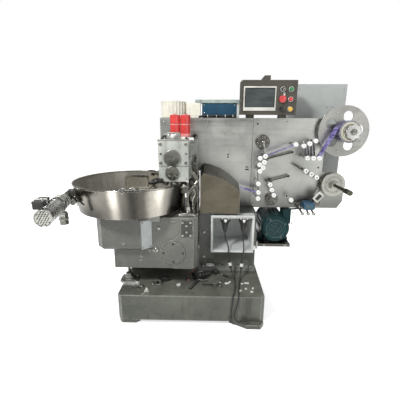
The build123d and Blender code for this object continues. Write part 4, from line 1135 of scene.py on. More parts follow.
SLOPE_PLATE = Steel(
    "slope_plate_steel", (0.38, 0.395, 0.395), 0.4, grain=(40.0, 40.0, 1.5), lines=0.08, edge_wear_and_light=0.3
)
BOSS_STEEL = Steel("boss_steel", (0.2, 0.2, 0.175), 0.3, smudge=0.4, edge_wear_and_light=0.6)
LINK_STEEL = Steel("link_steel", (0.13, 0.125, 0.105), 0.28, smudge=0.4, edge_wear_and_light=0.7)
KNOB_STEEL = Steel("knob_steel", (0.5, 0.5, 0.48), 0.2, smudge=0.5, edge_wear_and_light=0.4)
HUB_STEEL = TurnedSteel("hub_steel", (0.4, 0.395, 0.355), 0.3, centre=(0.953, 0.789), smudge=0.25)
CAP_DARK = Plastic("cap_dark", (0.02, 0.02, 0.018), 0.45)
CAP_LIGHT = Steel("cap_light", (0.5, 0.5, 0.46), 0.35, smudge=0.2)
WINDOW_TAN = Enamel("window_tan", (0.22, 0.2, 0.155), 0.35, edge_wear_and_light=0.5, grime=0.4, dust=0.05)
LID_ENAMEL = Enamel(
    "lid_enamel", (0.36, 0.42, 0.39), 0.35, edge_wear_and_light=0.3, dust=0.1, dust_colour=(0.4, 0.42, 0.36)
)
# The housing has painted shade towards the bottom.
TURRET_ENAMEL = Enamel(
    "turret_enamel", (0.115, 0.119, 0.102), 0.26, bare_and_edge_light=(0.62, 0.61, 0.56), edge_wear_and_light=0.9, grime=0.45,
    dust=0.05, painted_shade_below=(0.36, 0.64, 0.75), rim=0.006
)
VALVE_DARK = Enamel("valve_dark", (0.045, 0.047, 0.04), 0.35, edge_wear_and_light=0.5, dust=0.05)
WOUND_EDGE = Film("wound_edge", (0.3, 0.3, 0.33), (0.5, 0.5, 0.5))
FILM_ROLL = Film("film_roll_dark", (0.035, 0.028, 0.085), (0.15, 0.135, 0.26))
REEL_DISC = TurnedSteel(
    "reel_disc_steel", (0.345, 0.341, 0.318), 0.3, centre=(0.982, 1.145), smudge=0.3
)
FILM_DARK = Film("film_dark", (0.02, 0.018, 0.035), (0.09, 0.085, 0.13))

NODE_FINISHES = {
    "wheel_guard": GUARD_STEEL,
    "guide_rollers": ROLLER_STEEL,
    "roller_bar": BOSS_STEEL,
    "linkage_rods": LINK_STEEL,
    "head_discs": LINK_STEEL,
    "reel_knob": KNOB_STEEL,
    "lower_reel_hub": HUB_STEEL,
    "plate_bosses": BOSS_STEEL,
    "pan_fittings": WINDOW_TAN,
    "valve_plate": VALVE_DARK,
    "motor_bracket": LINK_STEEL,
    "upper_reel_disc": REEL_DISC,
    "web_sensor": LINK_STEEL,
    "supply_lid": LID_ENAMEL,
    "turntable_housing": TURRET_ENAMEL,
    "brush_arm": BOSS_STEEL,
    "brush_gearbox": BOSS_STEEL,
}


class Bench:
    """Holds the finishes and adds finished pieces to the machine."""

    def __init__(self) -> None:
        """Makes the shared effects and every slot's material."""
        self.effects = Effects()
        self.materials = {slot: finish.material(self.effects) for slot, finish in FINISHES.items()}
        self.extra: dict[str, bpy.types.Material] = {}

    def dress_frame(self) -> None:
        """Gives each carried-over node the finish of its slot."""
        for name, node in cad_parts.items():
            for entry in node.material_slots:
                slot = Slot(entry.material.name.split(".")[0])
                own = NODE_FINISHES.get(name)
                entry.material = self.finish(own) if own else self.materials[slot]
        log.info("dressed %d nodes", len(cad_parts))

    def finish(self, finish: Finish) -> bpy.types.Material:
        """Material of a finish that no slot names, made once."""
        if finish.name not in self.extra:
            self.extra[finish.name] = finish.material(self.effects)
        return self.extra[finish.name]

    def add(
        self, name: str, form: Form, slot: Slot, body: str = "machine", bevel: float = 0.0,
        finish: Finish | None = None
    ) -> bpy.types.Object:
        """Adds a piece that rides on a body.

        Args:
            name: The piece's name.
            form: Its surface.
            slot: The record's slot whose finish it takes when no finish of its own is given.
            body: The body it moves with.
            bevel: Width of its edge bevel.
            finish: A finish of its own in place of the slot's.

        Returns:
            The new object.
        """
        material = self.finish(finish) if finish else self.materials[slot]
        obj = mesh_object(name, form, material, bevel)
        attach(obj, body)
        log.info("%s: %d faces", name, len(obj.data.polygons))
        return obj


@dataclass
class Leads:
    """The two leads that hang from the socket box, each with a connector on its way and an end plug."""

    diameter: float = 0.008
    lengths: Pair = (0.676, 0.718)
    left_route: tuple[Point, ...] = (
        (0.214, -0.050, 0.488), (0.214, -0.050, 0.444), (0.240, -0.092, 0.400), (0.236, -0.102, 0.340),
        (0.262, -0.112, 0.226), (0.276, -0.150, 0.200), (0.280, -0.216, 0.1965), (0.267, -0.300, 0.198),
        (0.254, -0.354, 0.203), (
            0.251, -0.3715, 0.1855
        ), (0.246, -0.371, 0.138), (0.243, -0.373, 0.092),
        (0.242, -0.374, 0.066),
    )
    right_route: tuple[Point, ...] = (
        (0.335, -0.050, 0.488), (0.335, -0.050, 0.444), (0.341, -0.096, 0.396), (0.331, -0.106, 0.336),
        (0.320, -0.126, 0.228), (0.313, -0.160, 0.200), (0.302, -0.226, 0.1965), (0.292, -0.300, 0.198),
        (0.287, -0.354, 0.203), (
            0.285, -0.3715, 0.1855
        ), (0.278, -0.371, 0.138), (0.266, -0.373, 0.092),
        (0.262, -0.378, 0.062), (0.278, -0.384, 0.0385), (0.305, -0.385, 0.0375),
    )

    def lead(self, bench: Bench, name: str, route: tuple[Point, ...], length: float) -> None:
        """Args:
            bench: Where the piece is finished.
            name: The node that it replaces.
            route: Control points from the socket to the end plug.
            length: Its real length.
        """
        curve = bpy.data.curves.new(f"{name}_cord", "CURVE")
        curve.dimensions = "3D"
        curve.bevel_depth = self.diameter / 2
        curve.bevel_resolution = 4
        curve.resolution_u = 10
        curve.use_fill_caps = True
        spline = curve.splines.new("NURBS")
        spline.points.add(len(route) - 1)
        points = np.column_stack([np.array(route) + BASE, np.ones(len(route))])
        spline.points.foreach_set("co", points.ravel())
        spline.order_u = 3
        spline.use_endpoint_u = True
        curve.materials.append(bench.materials[Slot.BLACK_RUBBER])
        cord = bpy.data.objects.new(f"{name}_cord", curve)
        bpy.context.scene.collection.objects.link(cord)
        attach(cord, "machine")
        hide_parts(name)
        log.info("%s: %.3f m", name, length)

    def build(self, bench: Bench) -> None:
        """Adds both leads."""
        self.lead(bench, "lead_left", self.left_route, self.lengths[0])
        self.lead(bench, "lead_right", self.right_route, self.lengths[1])


def side_of(node: str, axis: int, high: bool) -> float:
    """Where a node's box ends along an axis, measured from the datum."""
    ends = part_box(node)
    return float(ends[1 if high else 0][axis] - BASE[axis])


@dataclass
class SubAssembly:
    """A group of pieces that share the bench."""

    bench: Bench

    def build(self) -> None:
        """Adds the group's pieces."""


@dataclass
class PlinthFittings(SubAssembly):
    """Loose fittings on the plinth's top and on the column's foot."""

    level: float = 0.192
    ledge: float = 0.232
    jack: Pair = (-0.413, -0.166)
    flange_size: Pair = (0.112, 0.09)
    foot_front: float = -0.058

    def jack_flange(self) -> Form:
        """Plate under the jack with a stepped ring, a hexagon nut and a bolt at each corner.

        Returns:
            The flange with its nut and bolts.
        """
        x, y = self.jack
        wide, deep = self.flange_size
        plate = block(top(x, y, self.level), wide, deep, 0.009, 0.018)
        ring = revolve(
            mm(20, 8, 42, 8, 42, 18, 37, 22, 30, 22, 28, 34, 12, 36), top(x, y, self.level), 48
        )
        nut = prism(polygon(6, 0.024), top(x, y, self.level), 0.034, 0.05)
        corners = [
            bolt(top(x + sx * wide * 0.4, y + sy * deep * 0.36, self.level + 0.009), 0.011, 0.007)
            for sx in (-1, 1) for sy in (-1, 1)
        ]
        return join(plate, ring, nut, *corners)

    def clamp(self) -> Form:
        """Small split clamp: a C outline carried along the plinth, with two feet and a pinch bolt.

        Returns:
            The clamp with its foot.
        """
        t = np.linspace(0.35, 2 * np.pi - 0.35, 22)
        outer = 0.02 * np.stack([np.cos(t), np.sin(t)], axis=-1)
        inner = 0.0125 * np.stack([np.cos(t[::-1]), np.sin(t[::-1])], axis=-1)
        body = prism(np.concatenate([outer, inner]), Place(
            (-0.222, -0.206, self.level + 0.0205), (0, 0, 1), (-0.98, -0.2, 0)
        ), 0.0, 0.034)
        foot = block(lying(-0.226, -0.222, self.level, 0.98, 0.14), 0.062, 0.046, 0.006, 0.004)
        return join(
            body, foot, bolt(top(-0.25, -0.226, self.level + 0.006), 0.01, 0.006),
            bolt(top(-0.2, -0.22, self.level + 0.006), 0.01, 0.006)
        )

    def build(self) -> None:
        """Adds the jack's flange, bars, clamp, levers, handle, knob and chips."""
        add = self.bench.add
        z = self.level
        add("jack_flange", self.jack_flange(), Slot.MACHINED_STEEL, finish=DULL_ZINC, bevel=0.001)
        add("plinth_flat_bar", join(
            block(lying(-0.389, -0.228, z, 1, 0.03), 0.108, 0.022, 0.013, 0.002),
            bolt(top(-0.43, -0.229, z + 0.013), 0.01, 0.005),
            bolt(top(-0.35, -0.226, z + 0.013), 0.01, 0.005)
        ), Slot.WHITE_PLASTIC, finish=PALE_ZINC, bevel=0.001)
        rings = [
            hoop(mm(6, 0, 10.5, 0, 11.5, 4, 10.5, 8, 6, 8), Place(
                (x, y, z), (math.cos(a), math.sin(a), 0.1), (-math.sin(a), math.cos(a), 0)
            ), 20)
            for x, y, a in (
                (-0.379, -0.277, 0.2), (-0.352, -0.268, 0.8), (-0.335, -0.28, 0.5),
                (-0.314, -0.257, 1.1)
            )
        ]
        links = tube([
            (-0.377, -0.272, z + 0.006), (-0.36, -0.258, z + 0.012), (-0.34, -0.272, z + 0.006),
            (-0.318, -0.262, z + 0.008)
        ], 0.0022, 8, 6)
        add("plinth_loose_rings", join(*rings, links), Slot.MACHINED_STEEL)
        wedge = prism(
            np.array(mm(-16, 0, 16, 0, 4, 26, -2, 26)),
            Place((-0.274, -0.312, z), (1, 0.1, 0), (0, 0, 1)), -0.009, 0.009
        )
        rod = tube([
            (-0.276, -0.322, z + 0.0035), (-0.287, -0.338, z + 0.003), (-0.298, -0.352, z + 0.003)
        ], 0.0022, 8, 4)
        add("plinth_wedge", join(wedge, rod), Slot.WHITE_PLASTIC, finish=PALE_ZINC, bevel=0.0008)
        add("plinth_clamp", self.clamp(), Slot.MACHINED_STEEL, bevel=0.0008)
        handle = join(
            block(lying(-0.172, -0.176, z, 0.9, 0.43), 0.05, 0.034, 0.024, 0.005),
            sweep([
                (-0.172, -0.17, z + 0.02), (-0.158, -0.152, z + 0.03), (-0.142, -0.126, z + 0.036)
            ], rounded(0.012, 0.008, 0.003, 3), smooth=5),
            cap_screw(top(-0.182, -0.18, z + 0.024), 0.006, 0.004)
        )
        add("clamp_handle", handle, Slot.BLACK_PLASTIC, bevel=0.001)
        nut = hoop(
            mm(8.5, 0, 15.5, 0, 17, 3, 17, 9, 15.5, 12, 8.5, 12),
            Place((-0.082, -0.24, z + 0.0005), (1, 0, 0.12), (0, 1, 0)), 6
        )
        add("plinth_nut", nut, Slot.WHITE_PLASTIC, finish=PALE_ZINC, bevel=0.001)
        lever = sweep([
            (-0.026, -0.162, z + 0.003), (-0.024, -0.14, z + 0.016), (-0.016, -0.112, z + 0.026),
            (0.006, -0.085, z + 0.022), (0.024, -0.05, z + 0.018)
        ], rounded(0.007, 0.014, 0.0025, 3), smooth=6)
        add("copper_lever", join(
            lever, revolve(mm(4, -1, 12, 0, 12, 8, 4, 10), top(-0.026, -0.165, z), 20)
        ), Slot.MACHINED_STEEL, finish=COPPER)
        valve = join(
            block(lying(0.05, -0.148, z, 0.86, 0.5), 0.072, 0.036, 0.03, 0.004),
            revolve(mm(4, -30, 14, -30, 16, -24, 16, 20, 12, 26, 12, 40, 4, 41), Place(
                (0.085, -0.122, z + 0.017), (0.5, -0.86, 0), (0, 0, 1)
            ), 24),
            block(lying(0.022, -0.108, z, 0.7, -0.7), 0.05, 0.03, 0.024, 0.004),
            block(lying(0.018, -0.222, z, 0.42, 0.9), 0.13, 0.017, 0.012, 0.003),
        )
        add("plinth_valve", valve, Slot.BLACK_PLASTIC, bevel=0.0012)
        pins = join(
            tube([
                (0.028, -0.176, z + 0.012), (0.072, -0.186, z + 0.012), (0.1, -0.176, z + 0.01)
            ], 0.0035, 10, 4),
            tube([
                (0.03, -0.13, z + 0.035), (0.064, -0.12, z + 0.042), (0.09, -0.098, z + 0.028)
            ], 0.003, 10, 4),
            bolt(lying(0.05, -0.148, z + 0.03, 0.86, 0.5), 0.012, 0.007),
            bolt(lying(0.072, -0.136, z + 0.03, 0.86, 0.5), 0.009, 0.006),
            block(lying(0.096, -0.236, z, 1, 0.02), 0.078, 0.017, 0.009, 0.002),
            block(lying(0.175, -0.246, z, 0.9, -0.42), 0.03, 0.02, 0.012, 0.003),
            tube([
                (0.146, -0.214, z + 0.003), (0.168, -0.198, z + 0.01), (0.19, -0.206, z + 0.003)
            ], 0.0028, 8, 4),
        )
        add("plinth_pins", pins, Slot.MACHINED_STEEL, bevel=0.0006)
        t = np.linspace(0, 2 * np.pi, 28)
        loop = np.column_stack([
            0.114 + 0.023 * np.cos(t), self.foot_front + 0.02 + 0.011 * np.sin(t),
            np.full(len(t), self.ledge + 0.0075)
        ])
        add("oval_handle", join(
            sweep(loop, rounded(0.008, 0.013, 0.003, 3), guide=(0, 0, 1)),
            block(top(0.141, self.foot_front + 0.022, self.ledge), 0.012, 0.014, 0.008, 0.003)
        ), Slot.WHITE_PLASTIC)
        slope = Place((0.156, self.foot_front - 0.002, 0.205), (1, 0, 0), (0, 0.35, 0.94))
        add("ledge_knob", revolve(
            mm(6, -6, 8, 4, 16, 6, 19.5, 12, 18.5, 24, 13, 30, 3, 31), slope, 32
        ), Slot.BLACK_PLASTIC)
        add("lead_saddle", join(
            block(lying(0.228, -0.12, z, 0.77, -0.64), 0.088, 0.013, 0.01, 0.003),
            bolt(top(0.2, -0.098, z + 0.009), 0.01, 0.005)
        ), Slot.MACHINED_STEEL, bevel=0.001)
        chips = [
            block(lying(x, y, z, math.cos(a), math.sin(a)), w, 0.011, 0.006, 0.002)
            for x, y, a, w in (
                (0.225, -0.206, 0.2, 0.026), (0.244, -0.19, 0.9, 0.016), (0.352, -0.2, -0.1, 0.03),
                (0.322, -0.208, 0.5, 0.014), (0.302, -0.292, 0.7, 0.018), (0.372, -0.302, -0.5, 0.016),
                (0.34, -0.268, 0.2, 0.013), (0.384, -0.262, 1.2, 0.012)
            )
        ]
        add("plinth_chips", join(*chips), Slot.WHITE_PLASTIC, bevel=0.0008)
        holes = [bolt(front(0.074, -0.0205, h), 0.014, 0.008) for h in (0.474, 0.289)]
        feet = [bolt(top(x, -0.039, self.ledge), 0.016, 0.009) for x in (0.068, 0.21, 0.3, 0.395)]
        add("column_bolts", join(*holes, *feet), Slot.MACHINED_STEEL, bevel=0.0006)
        stud = mm(1, -1, 20, 0, 20, 4, 12, 6, 12, 20, 1, 21)
        anchors = [
            revolve(stud, top(x, y, self.level), 24)
            for x, y in ((-0.405, 0.32), (0.405, 0.32), (-0.405, 0.12), (0.36, 0.33))
        ]
        add("anchor_studs", join(*anchors), Slot.MACHINED_STEEL)


@dataclass
class GearboxTrim(SubAssembly):
    """Screws, sight glass, gasket and the bright plate on the gearbox and its turntable housing."""

    face: float = -0.259
    pad: float = -0.267
    turret: float = -0.307
    cover: Pair = (-0.110, 0.429)
    screw_ring: float = 0.0595

    def slope_place(self, along: float, z: float) -> Place:
        """Place on the housing's sloped right face, along it from its front edge."""
        run = (0.776, 0.631, 0)
        return Place((-0.295 + along * run[0], self.turret + along * run[1], z), run, (0, 0, 1))

    def build(self) -> None:
        """Adds the trim."""
        add = self.bench.add
        x, z = self.cover
        screws = [
            cap_screw(ring_spot(x, -0.2705, z, self.screw_ring, a), 0.0078, 0.0025)
            for a in (0, math.pi / 2, math.pi, -math.pi / 2)
        ]
        add("cover_screws", join(*screws), Slot.BLACK_PLASTIC)
        gasket = hoop(mm(73.1, 0, 75.2, 0, 75.2, 1.6, 73.1, 2.2), front(x, self.pad, z), 72)
        add("cover_gasket", gasket, Slot.BLACK_RUBBER)
        lip = hoop(mm(69, 3.8, 72.8, 3.6, 73.1, 4.8, 72.2, 5.5, 69.5, 5.5), front(x, self.pad, z), 72)
        add("cover_lip", lip, Slot.BODY_PAINT)
        sight = revolve(mm(
            2, 1.5, 8.5, 1.5, 9.5, 6, 12.5, 6.5, 14.5, 5, 15.5, -1, 4, -1.2
        ), front(-0.217, self.face, 0.443), 32)
        add("sight_ring", sight, Slot.MACHINED_STEEL)
        add("sight_glass", revolve(
            mm(8.8, 0, 8.8, 3.5, 6, 4.6, 1, 5), front(-0.217, self.face, 0.443), 24
        ), Slot.SCREEN_GLASS)
        clip = tube([
            (-0.232, self.face - 0.004, 0.437), (-0.24, self.face - 0.007, 0.45),
            (-0.252, self.face - 0.005, 0.446), (-0.256, self.face - 0.003, 0.43)
        ], 0.0022, 8, 6, (0, 1, 0))
        plugs = [
            revolve(
                mm(3, 0.8, 5, 0.8, 6, 5.5, 8.2, 5.5, 9, 2, 9, -1, 3, -1), front(px, self.face, pz), 28
            )
            for px, pz in ((-0.307, 0.402), (-0.309, 0.376))
        ]
        add("gearbox_plugs", join(
            *plugs, clip, bolt(front(-0.194, self.face - 0.0042, 0.586), 0.0125, 0.007),
            bolt(front(-0.210, self.face - 0.0042, 0.444), 0.011, 0.006)
        ), Slot.MACHINED_STEEL)
        plate = slab(self.slope_place(0.0385, 0.5515), 0.07, 0.177, 0.004, -0.0005, 0.0018)
        add("slope_plate", plate, Slot.PLATE_STEEL, finish=SLOPE_PLATE, bevel=0.0006)
        small = [
            cap_screw(self.slope_place(a, h), 0.0042, 0.0042)
            for a, h in ((0.014, 0.63), (0.062, 0.636), (0.014, 0.474), (0.062, 0.472))
        ]
        add("slope_plate_screws", join(*small), Slot.DARK_STEEL)
        ring = revolve(mm(4, 0, 7.5, 1, 9.5, 3, 11, 1, 12, -1), front(-0.402, self.turret, 0.507), 28)
        oval = slab(front(-0.109, self.face, 0.625), 0.03, 0.011, 0.0053, -0.001, 0.004)
        add("housing_plug", join(ring, oval), Slot.BODY_PAINT, bevel=0.0008)
        seam = slab(front(-0.333, self.turret, 0.556), 0.0016, 0.186, 0.0006, -0.0005, 0.0006, 2)
        add("housing_seam", seam, Slot.BODY_PAINT)
        bolts = [
            bolt(front(-0.028 + sx * 0.0235, -0.2765, 0.586 + sz * 0.04), 0.0085, 0.005)
            for sx in (-1, 1) for sz in (-1, 1)
        ]
        bolts += [bolt(front(-0.028, -0.2765, 0.586 + dz), 0.0085, 0.005) for dz in (0.02, -0.02)]
        add("valve_plate_bolts", join(*bolts), Slot.MACHINED_STEEL)
        step = slab(front(-0.2255, self.face, 0.65), 0.077, 0.042, 0.004, -0.06, 0.014)
        add("pan_rest", step, Slot.BODY_PAINT, finish=PALE_BRACKET, bevel=0.001)
        left_bolts = [
            bolt(left(-0.475, y, h), 0.016, 0.01)
            for y, h in ((-0.15, 0.36), (0.19, 0.36), (0.19, 0.48), (0.19, 0.6))
        ]
        back = [
            bolt(rear(px, 0.25, pz), 0.016, 0.01) for px in (-0.44, -0.33, -0.22, -0.11)
            for pz in (0.36, 0.61)
        ]
        lid = block(rear(-0.275, 0.25, 0.485), 0.3, 0.17, 0.006, 0.012)
        lid_screws = [
            cap_screw(rear(-0.275 + sx * 0.135, 0.256, 0.485 + sz * 0.07), 0.005, 0.004)
            for sx in (-1, 0, 1) for sz in (-1, 1)
        ]
        add("gearbox_back_lid", lid, Slot.BODY_PAINT, bevel=0.0015)
        add(
            "gearbox_side_bolts", join(*left_bolts, *back, *lid_screws), Slot.MACHINED_STEEL,
            bevel=0.0005
        )


@dataclass
class RodStand(SubAssembly):
    """Bright flange, rods, springs, links and levers between the gearbox and the head."""

    deck: float = 0.651
    rods: tuple[Pair, Pair, Pair] = ((-0.024, -0.19), (0.006, -0.175), (0.03, -0.14))

    def spring(self, x: float, y: float, low: float, high: float, radius: float, turns: int) -> Form:
        """Coil spring: a wire carried along (r cos t, r sin t, h) with h rising evenly.

        Args:
            x: Where its axis stands.
            y: Where its axis stands.
            low: Height of its first turn.
            high: Height of its last turn.
            radius: Radius of a turn.
            turns: How many turns.

        Returns:
            The wire.
        """
        t = np.linspace(0, 2 * np.pi * turns, turns * 14)
        path = np.column_stack([
            x + radius * np.cos(t), y + radius * np.sin(t), np.linspace(low, high, len(t))
        ])
        return tube(path, radius * 0.2, 6, 1)

    def link(self, start: Point, end: Point, width: float = 0.012, thick: float = 0.005) -> Form:
        """Flat link with a round eye at each end, from one pin to the other, facing the front.

        Args:
            start: The first pin.
            end: The last pin.
            width: Size across.
            thick: Size from back to front.

        Returns:
            The link with its pins.
        """
        a, b = np.array(start), np.array(end)
        along = (b - a) / np.linalg.norm(b - a)
        length = float(np.linalg.norm(b - a))
        t = np.linspace(np.pi / 2, 3 * np.pi / 2, 9)
        eye = width * 0.7 * np.stack([np.cos(t), np.sin(t)], axis=-1)
        outline = np.concatenate([eye, -eye + np.array([length, 0])])
        up = np.cross(np.array([0.0, -1.0, 0.0]), along)
        bar = Place(tuple(a), tuple(along), tuple(up))
        pins = [
            revolve([
                (0.001, 0.0), (width * 0.32, 0.0), (width * 0.32, thick * 1.7),
                (width * 0.2, thick * 2), (0.001, thick * 2)
            ], Place(tuple(p), (1, 0, 0), (0, 0, 1)), 16)
            for p in (a, b)
        ]
        return join(prism(outline, bar, 0.0, thick), *pins)

    def build(self) -> None:
        """Adds the flange block on the deck, then rods, springs and links up to the head."""
        add = self.bench.add
        deck = self.deck
        main, second, third = (top(x, y, deck) for x, y in self.rods)
        flange = join(
            block(top(-0.03, -0.2, deck), 0.105, 0.075, 0.012, 0.006),
            revolve(mm(4, 11, 26, 11, 26, 19, 16, 22, 15, 50, 3, 51), main, 32),
            *[
                bolt(top(-0.03 + sx * 0.04, -0.2 + sy * 0.025, deck + 0.012), 0.01, 0.007)
                for sx in (-1, 1) for sy in (-1, 1)
            ],
            tube([
                (-0.1, -0.225, deck + 0.004), (-0.06, -0.235, deck + 0.016),
                (-0.01, -0.238, deck + 0.017), (0.03, -0.222, deck + 0.006)
            ], 0.004, 10, 5),
        )
        add("rod_flange", flange, Slot.MACHINED_STEEL, bevel=0.0008)
        rods = join(
            revolve(mm(1, 0, 6.5, 0, 6.5, 200, 1, 200), main, 20),
            revolve(mm(
                1, 40, 12, 40, 12, 70, 6, 75, 6, 110, 10, 115, 10, 135, 1, 136
            ), main, 6),
            revolve(mm(1, 0, 5, 0, 5, 200, 1, 200), second, 20),
            revolve(mm(1, 20, 11, 20, 11, 34, 1, 35), second, 6),
            revolve(mm(1, 120, 11, 120, 11, 150, 1, 151), second, 24),
            revolve(mm(1, 0, 5.5, 0, 5.5, 240, 1, 240), third, 20),
            self.spring(*self.rods[1], deck + 0.04, deck + 0.115, 0.0105, 9),
            self.spring(*self.rods[2], deck + 0.1, deck + 0.19, 0.0115, 10),
            revolve(mm(
                1, 20, 13, 20, 13, 40, 8, 50, 8, 90, 13, 92, 13, 100, 1, 101
            ), third, 24),
        )
        add("head_rods", rods, Slot.DARK_STEEL, finish=LINK_STEEL)
        links = join(
            self.link((-0.07, -0.19, 0.842), (-0.02, -0.196, 0.79)),
            self.link((-0.02, -0.203, 0.79), (0.02, -0.196, 0.835)),
            self.link((0.0, -0.185, 0.76), (0.036, -0.15, 0.86), 0.014, 0.006),
            self.link((0.008, -0.16, 0.905), (0.036, -0.155, 0.85), 0.014, 0.006),
            self.link((0.006, -0.12, 0.96), (0.034, -0.125, 0.9), 0.016, 0.006),
            self.link((0.02, -0.1, 1.0), (0.012, -0.118, 0.93), 0.013, 0.005),
        )
        add("head_links", links, Slot.DARK_STEEL, finish=LINK_STEEL, bevel=0.0006)
        dark = join(
            block(front(-0.05, -0.13, 0.812), 0.05, 0.06, 0.05, 0.006),
            block(front(0.012, -0.1, 0.79), 0.05, 0.13, 0.05, 0.006),
            block(front(0.018, -0.09, 0.9), 0.03, 0.1, 0.03, 0.006),
            revolve(mm(1, -20, 20, -20, 22, 0, 22, 20, 8, 26, 1, 26), front(-0.108, -0.16, 0.838), 28),
            revolve(mm(1, -20, 16, -20, 18, 0, 18, 16, 8, 20, 1, 20), front(-0.158, -0.16, 0.846), 28),
            block(front(-0.07, -0.06, 0.72), 0.04, 0.13, 0.06, 0.006),
        )
        add("link_housing", dark, Slot.DARK_STEEL, bevel=0.001)
        bits = join(
            tube([
                (-0.1, -0.186, 0.842), (-0.07, -0.2, 0.82), (-0.045, -0.205, 0.835),
                (-0.02, -0.196, 0.82)
            ], 0.0026, 8, 6, (0, 1, 0)),
            tube([
                (0.0, -0.2, 0.74), (0.02, -0.19, 0.78), (0.01, -0.185, 0.82), (0.03, -0.17, 0.86)
            ], 0.0026, 8, 6, (0, 1, 0)),
            revolve(mm(1, 0, 11, 0, 13, 6, 9, 16, 5, 18, 5, 30, 1, 30), front(-0.048, -0.18, 0.83), 24),
            revolve(mm(1, 0, 7, 0, 9, 4, 7, 12, 1, 13), front(0.012, -0.15, 0.77), 20),
            bolt(front(-0.108, -0.186, 0.838), 0.014, 0.008),
            bolt(front(-0.158, -0.18, 0.846), 0.012, 0.008),
            bolt(front(0.012, -0.15, 0.83), 0.014, 0.008),
            bolt(front(0.018, -0.12, 0.93), 0.014, 0.008),
        )
        add("link_fasteners", bits, Slot.MACHINED_STEEL)


@dataclass
class PanTrim(SubAssembly):
    """Rim clamps, brush, latch rods and window trim of the feed pan."""

    centre: Pair = (-0.389, -0.084)
    rivet_radius: float = 0.3495
    rivet_level: float = 0.838

    def build(self) -> None:
        """Adds the pan's trim."""
        add = self.bench.add
        bristles = join(*[
            block(Place(
                (-0.3715 + k * 0.0105, 0.06, 0.752), (1, 0, 0), (0, -1, 0)
            ), 0.0095, 0.011, 0.034, 0.002)
            for k in range(8)
        ])
        add("pan_brush", bristles, Slot.WHITE_PLASTIC)
        rods = join(
            tube([
                (-0.53, 0.05, 0.742), (-0.49, 0.04, 0.75), (-0.46, 0.05, 0.744), (-0.43, 0.03, 0.752),
                (-0.4, 0.046, 0.75)
            ], 0.0035, 8, 6),
            tube([
                (-0.51, 0.03, 0.742), (-0.5, 0.036, 0.757), (-0.47, 0.036, 0.757), (-0.46, 0.03, 0.742)
            ], 0.0028, 8, 4),
            tube([
                (-0.44, 0.02, 0.742), (-0.43, 0.03, 0.764), (-0.405, 0.03, 0.764), (-0.395, 0.02, 0.742)
            ], 0.0028, 8, 4),
            revolve(mm(1, 0, 12, 0, 12, 12, 6, 18, 1, 18), top(-0.485, 0.03, 0.738), 24),
            revolve(mm(1, 0, 12, 0, 12, 12, 6, 18, 1, 18), top(-0.418, 0.02, 0.738), 24),
            block(top(-0.45, 0.026, 0.7335), 0.12, 0.03, 0.006, 0.004),
            *[
                revolve(mm(4.5, -38, 4.5, 0, 9, 4, 9, 10, 3, 13), top(px, 0.026, 0.742), 16)
                for px in (-0.505, -0.45, -0.395)
            ],
        )
        add("pan_feeler_rods", rods, Slot.MACHINED_STEEL)
        posts = join(*[
            revolve(mm(12, 0, 12, 6, 6, 8, 6, 30, 1, 31), top(px, 0.026, 0.7045), 20)
            for px in (-0.505, -0.395)
        ])
        add("feeler_posts", posts, Slot.DARK_STEEL)
        clamps = join(
            block(lying(-0.236, 0.215, 0.851, 0.9, -0.43), 0.05, 0.03, 0.014, 0.004),
            block(lying(-0.224, -0.235, 0.85, 0.7, 0.71), 0.05, 0.032, 0.014, 0.004),
            block(lying(-0.19, -0.2, 0.85, 0.8, 0.6), 0.034, 0.028, 0.02, 0.004),
            block(lying(-0.156, -0.16, 0.85, 0.8, 0.6), 0.028, 0.024, 0.016, 0.004),
            tube([(-0.24, -0.22, 0.862), (-0.21, -0.205, 0.875), (-0.17, -0.19, 0.868)], 0.006, 10, 5),
        )
        add("rim_clamps", clamps, Slot.BLACK_PLASTIC, bevel=0.0012)
        angles = np.linspace(-2.9, 3.1, 15)
        rivets = [
            revolve(mm(1, 0, 5, 0, 4.5, 2, 2, 3, 1, 3), Place(
                (
                    self.centre[0] + self.rivet_radius * math.sin(a),
                    self.centre[1] - self.rivet_radius * math.cos(a), self.rivet_level
                ),
                (math.cos(a), math.sin(a), 0), (0, 0, 1)
            ), 12)
            for a in angles
        ]
        add("rim_rivets", join(*rivets), Slot.MACHINED_STEEL)
        loop = rounded(0.168, 0.092, 0.016, 6)
        path = np.column_stack([-0.432 + loop[:, 0], np.full(len(loop), 0.2425), 0.768 + loop[:, 1]])
        path = np.concatenate([path, path[:2]])
        add("window_frame", sweep(
            path, rounded(0.0055, 0.005, 0.0015, 3), guide=(0, 1, 0)
        ), Slot.BLACK_PLASTIC)
        frame_screws = [
            cap_screw(front(-0.432 + sx * 0.08, 0.2445 - 0.0012 * (0.768 - dz), dz), 0.004, 0.003)
            for sx, dz in ((-1, 0.81), (1, 0.81), (-1, 0.727), (1, 0.727))
        ]
        add("window_screws", join(*frame_screws), Slot.BLACK_PLASTIC)
        bracket = join(
            bolt(front(-0.31, 0.236, 0.83), 0.014, 0.009),
            bolt(front(-0.31, 0.23, 0.745), 0.014, 0.009),
            sweep([
                (-0.342, 0.215, 0.852), (-0.31, 0.21, 0.86), (-0.272, 0.2, 0.852)
            ], rounded(0.014, 0.008, 0.003, 3), smooth=4)
        )
        add("wall_bracket_bolts", bracket, Slot.DARK_STEEL)


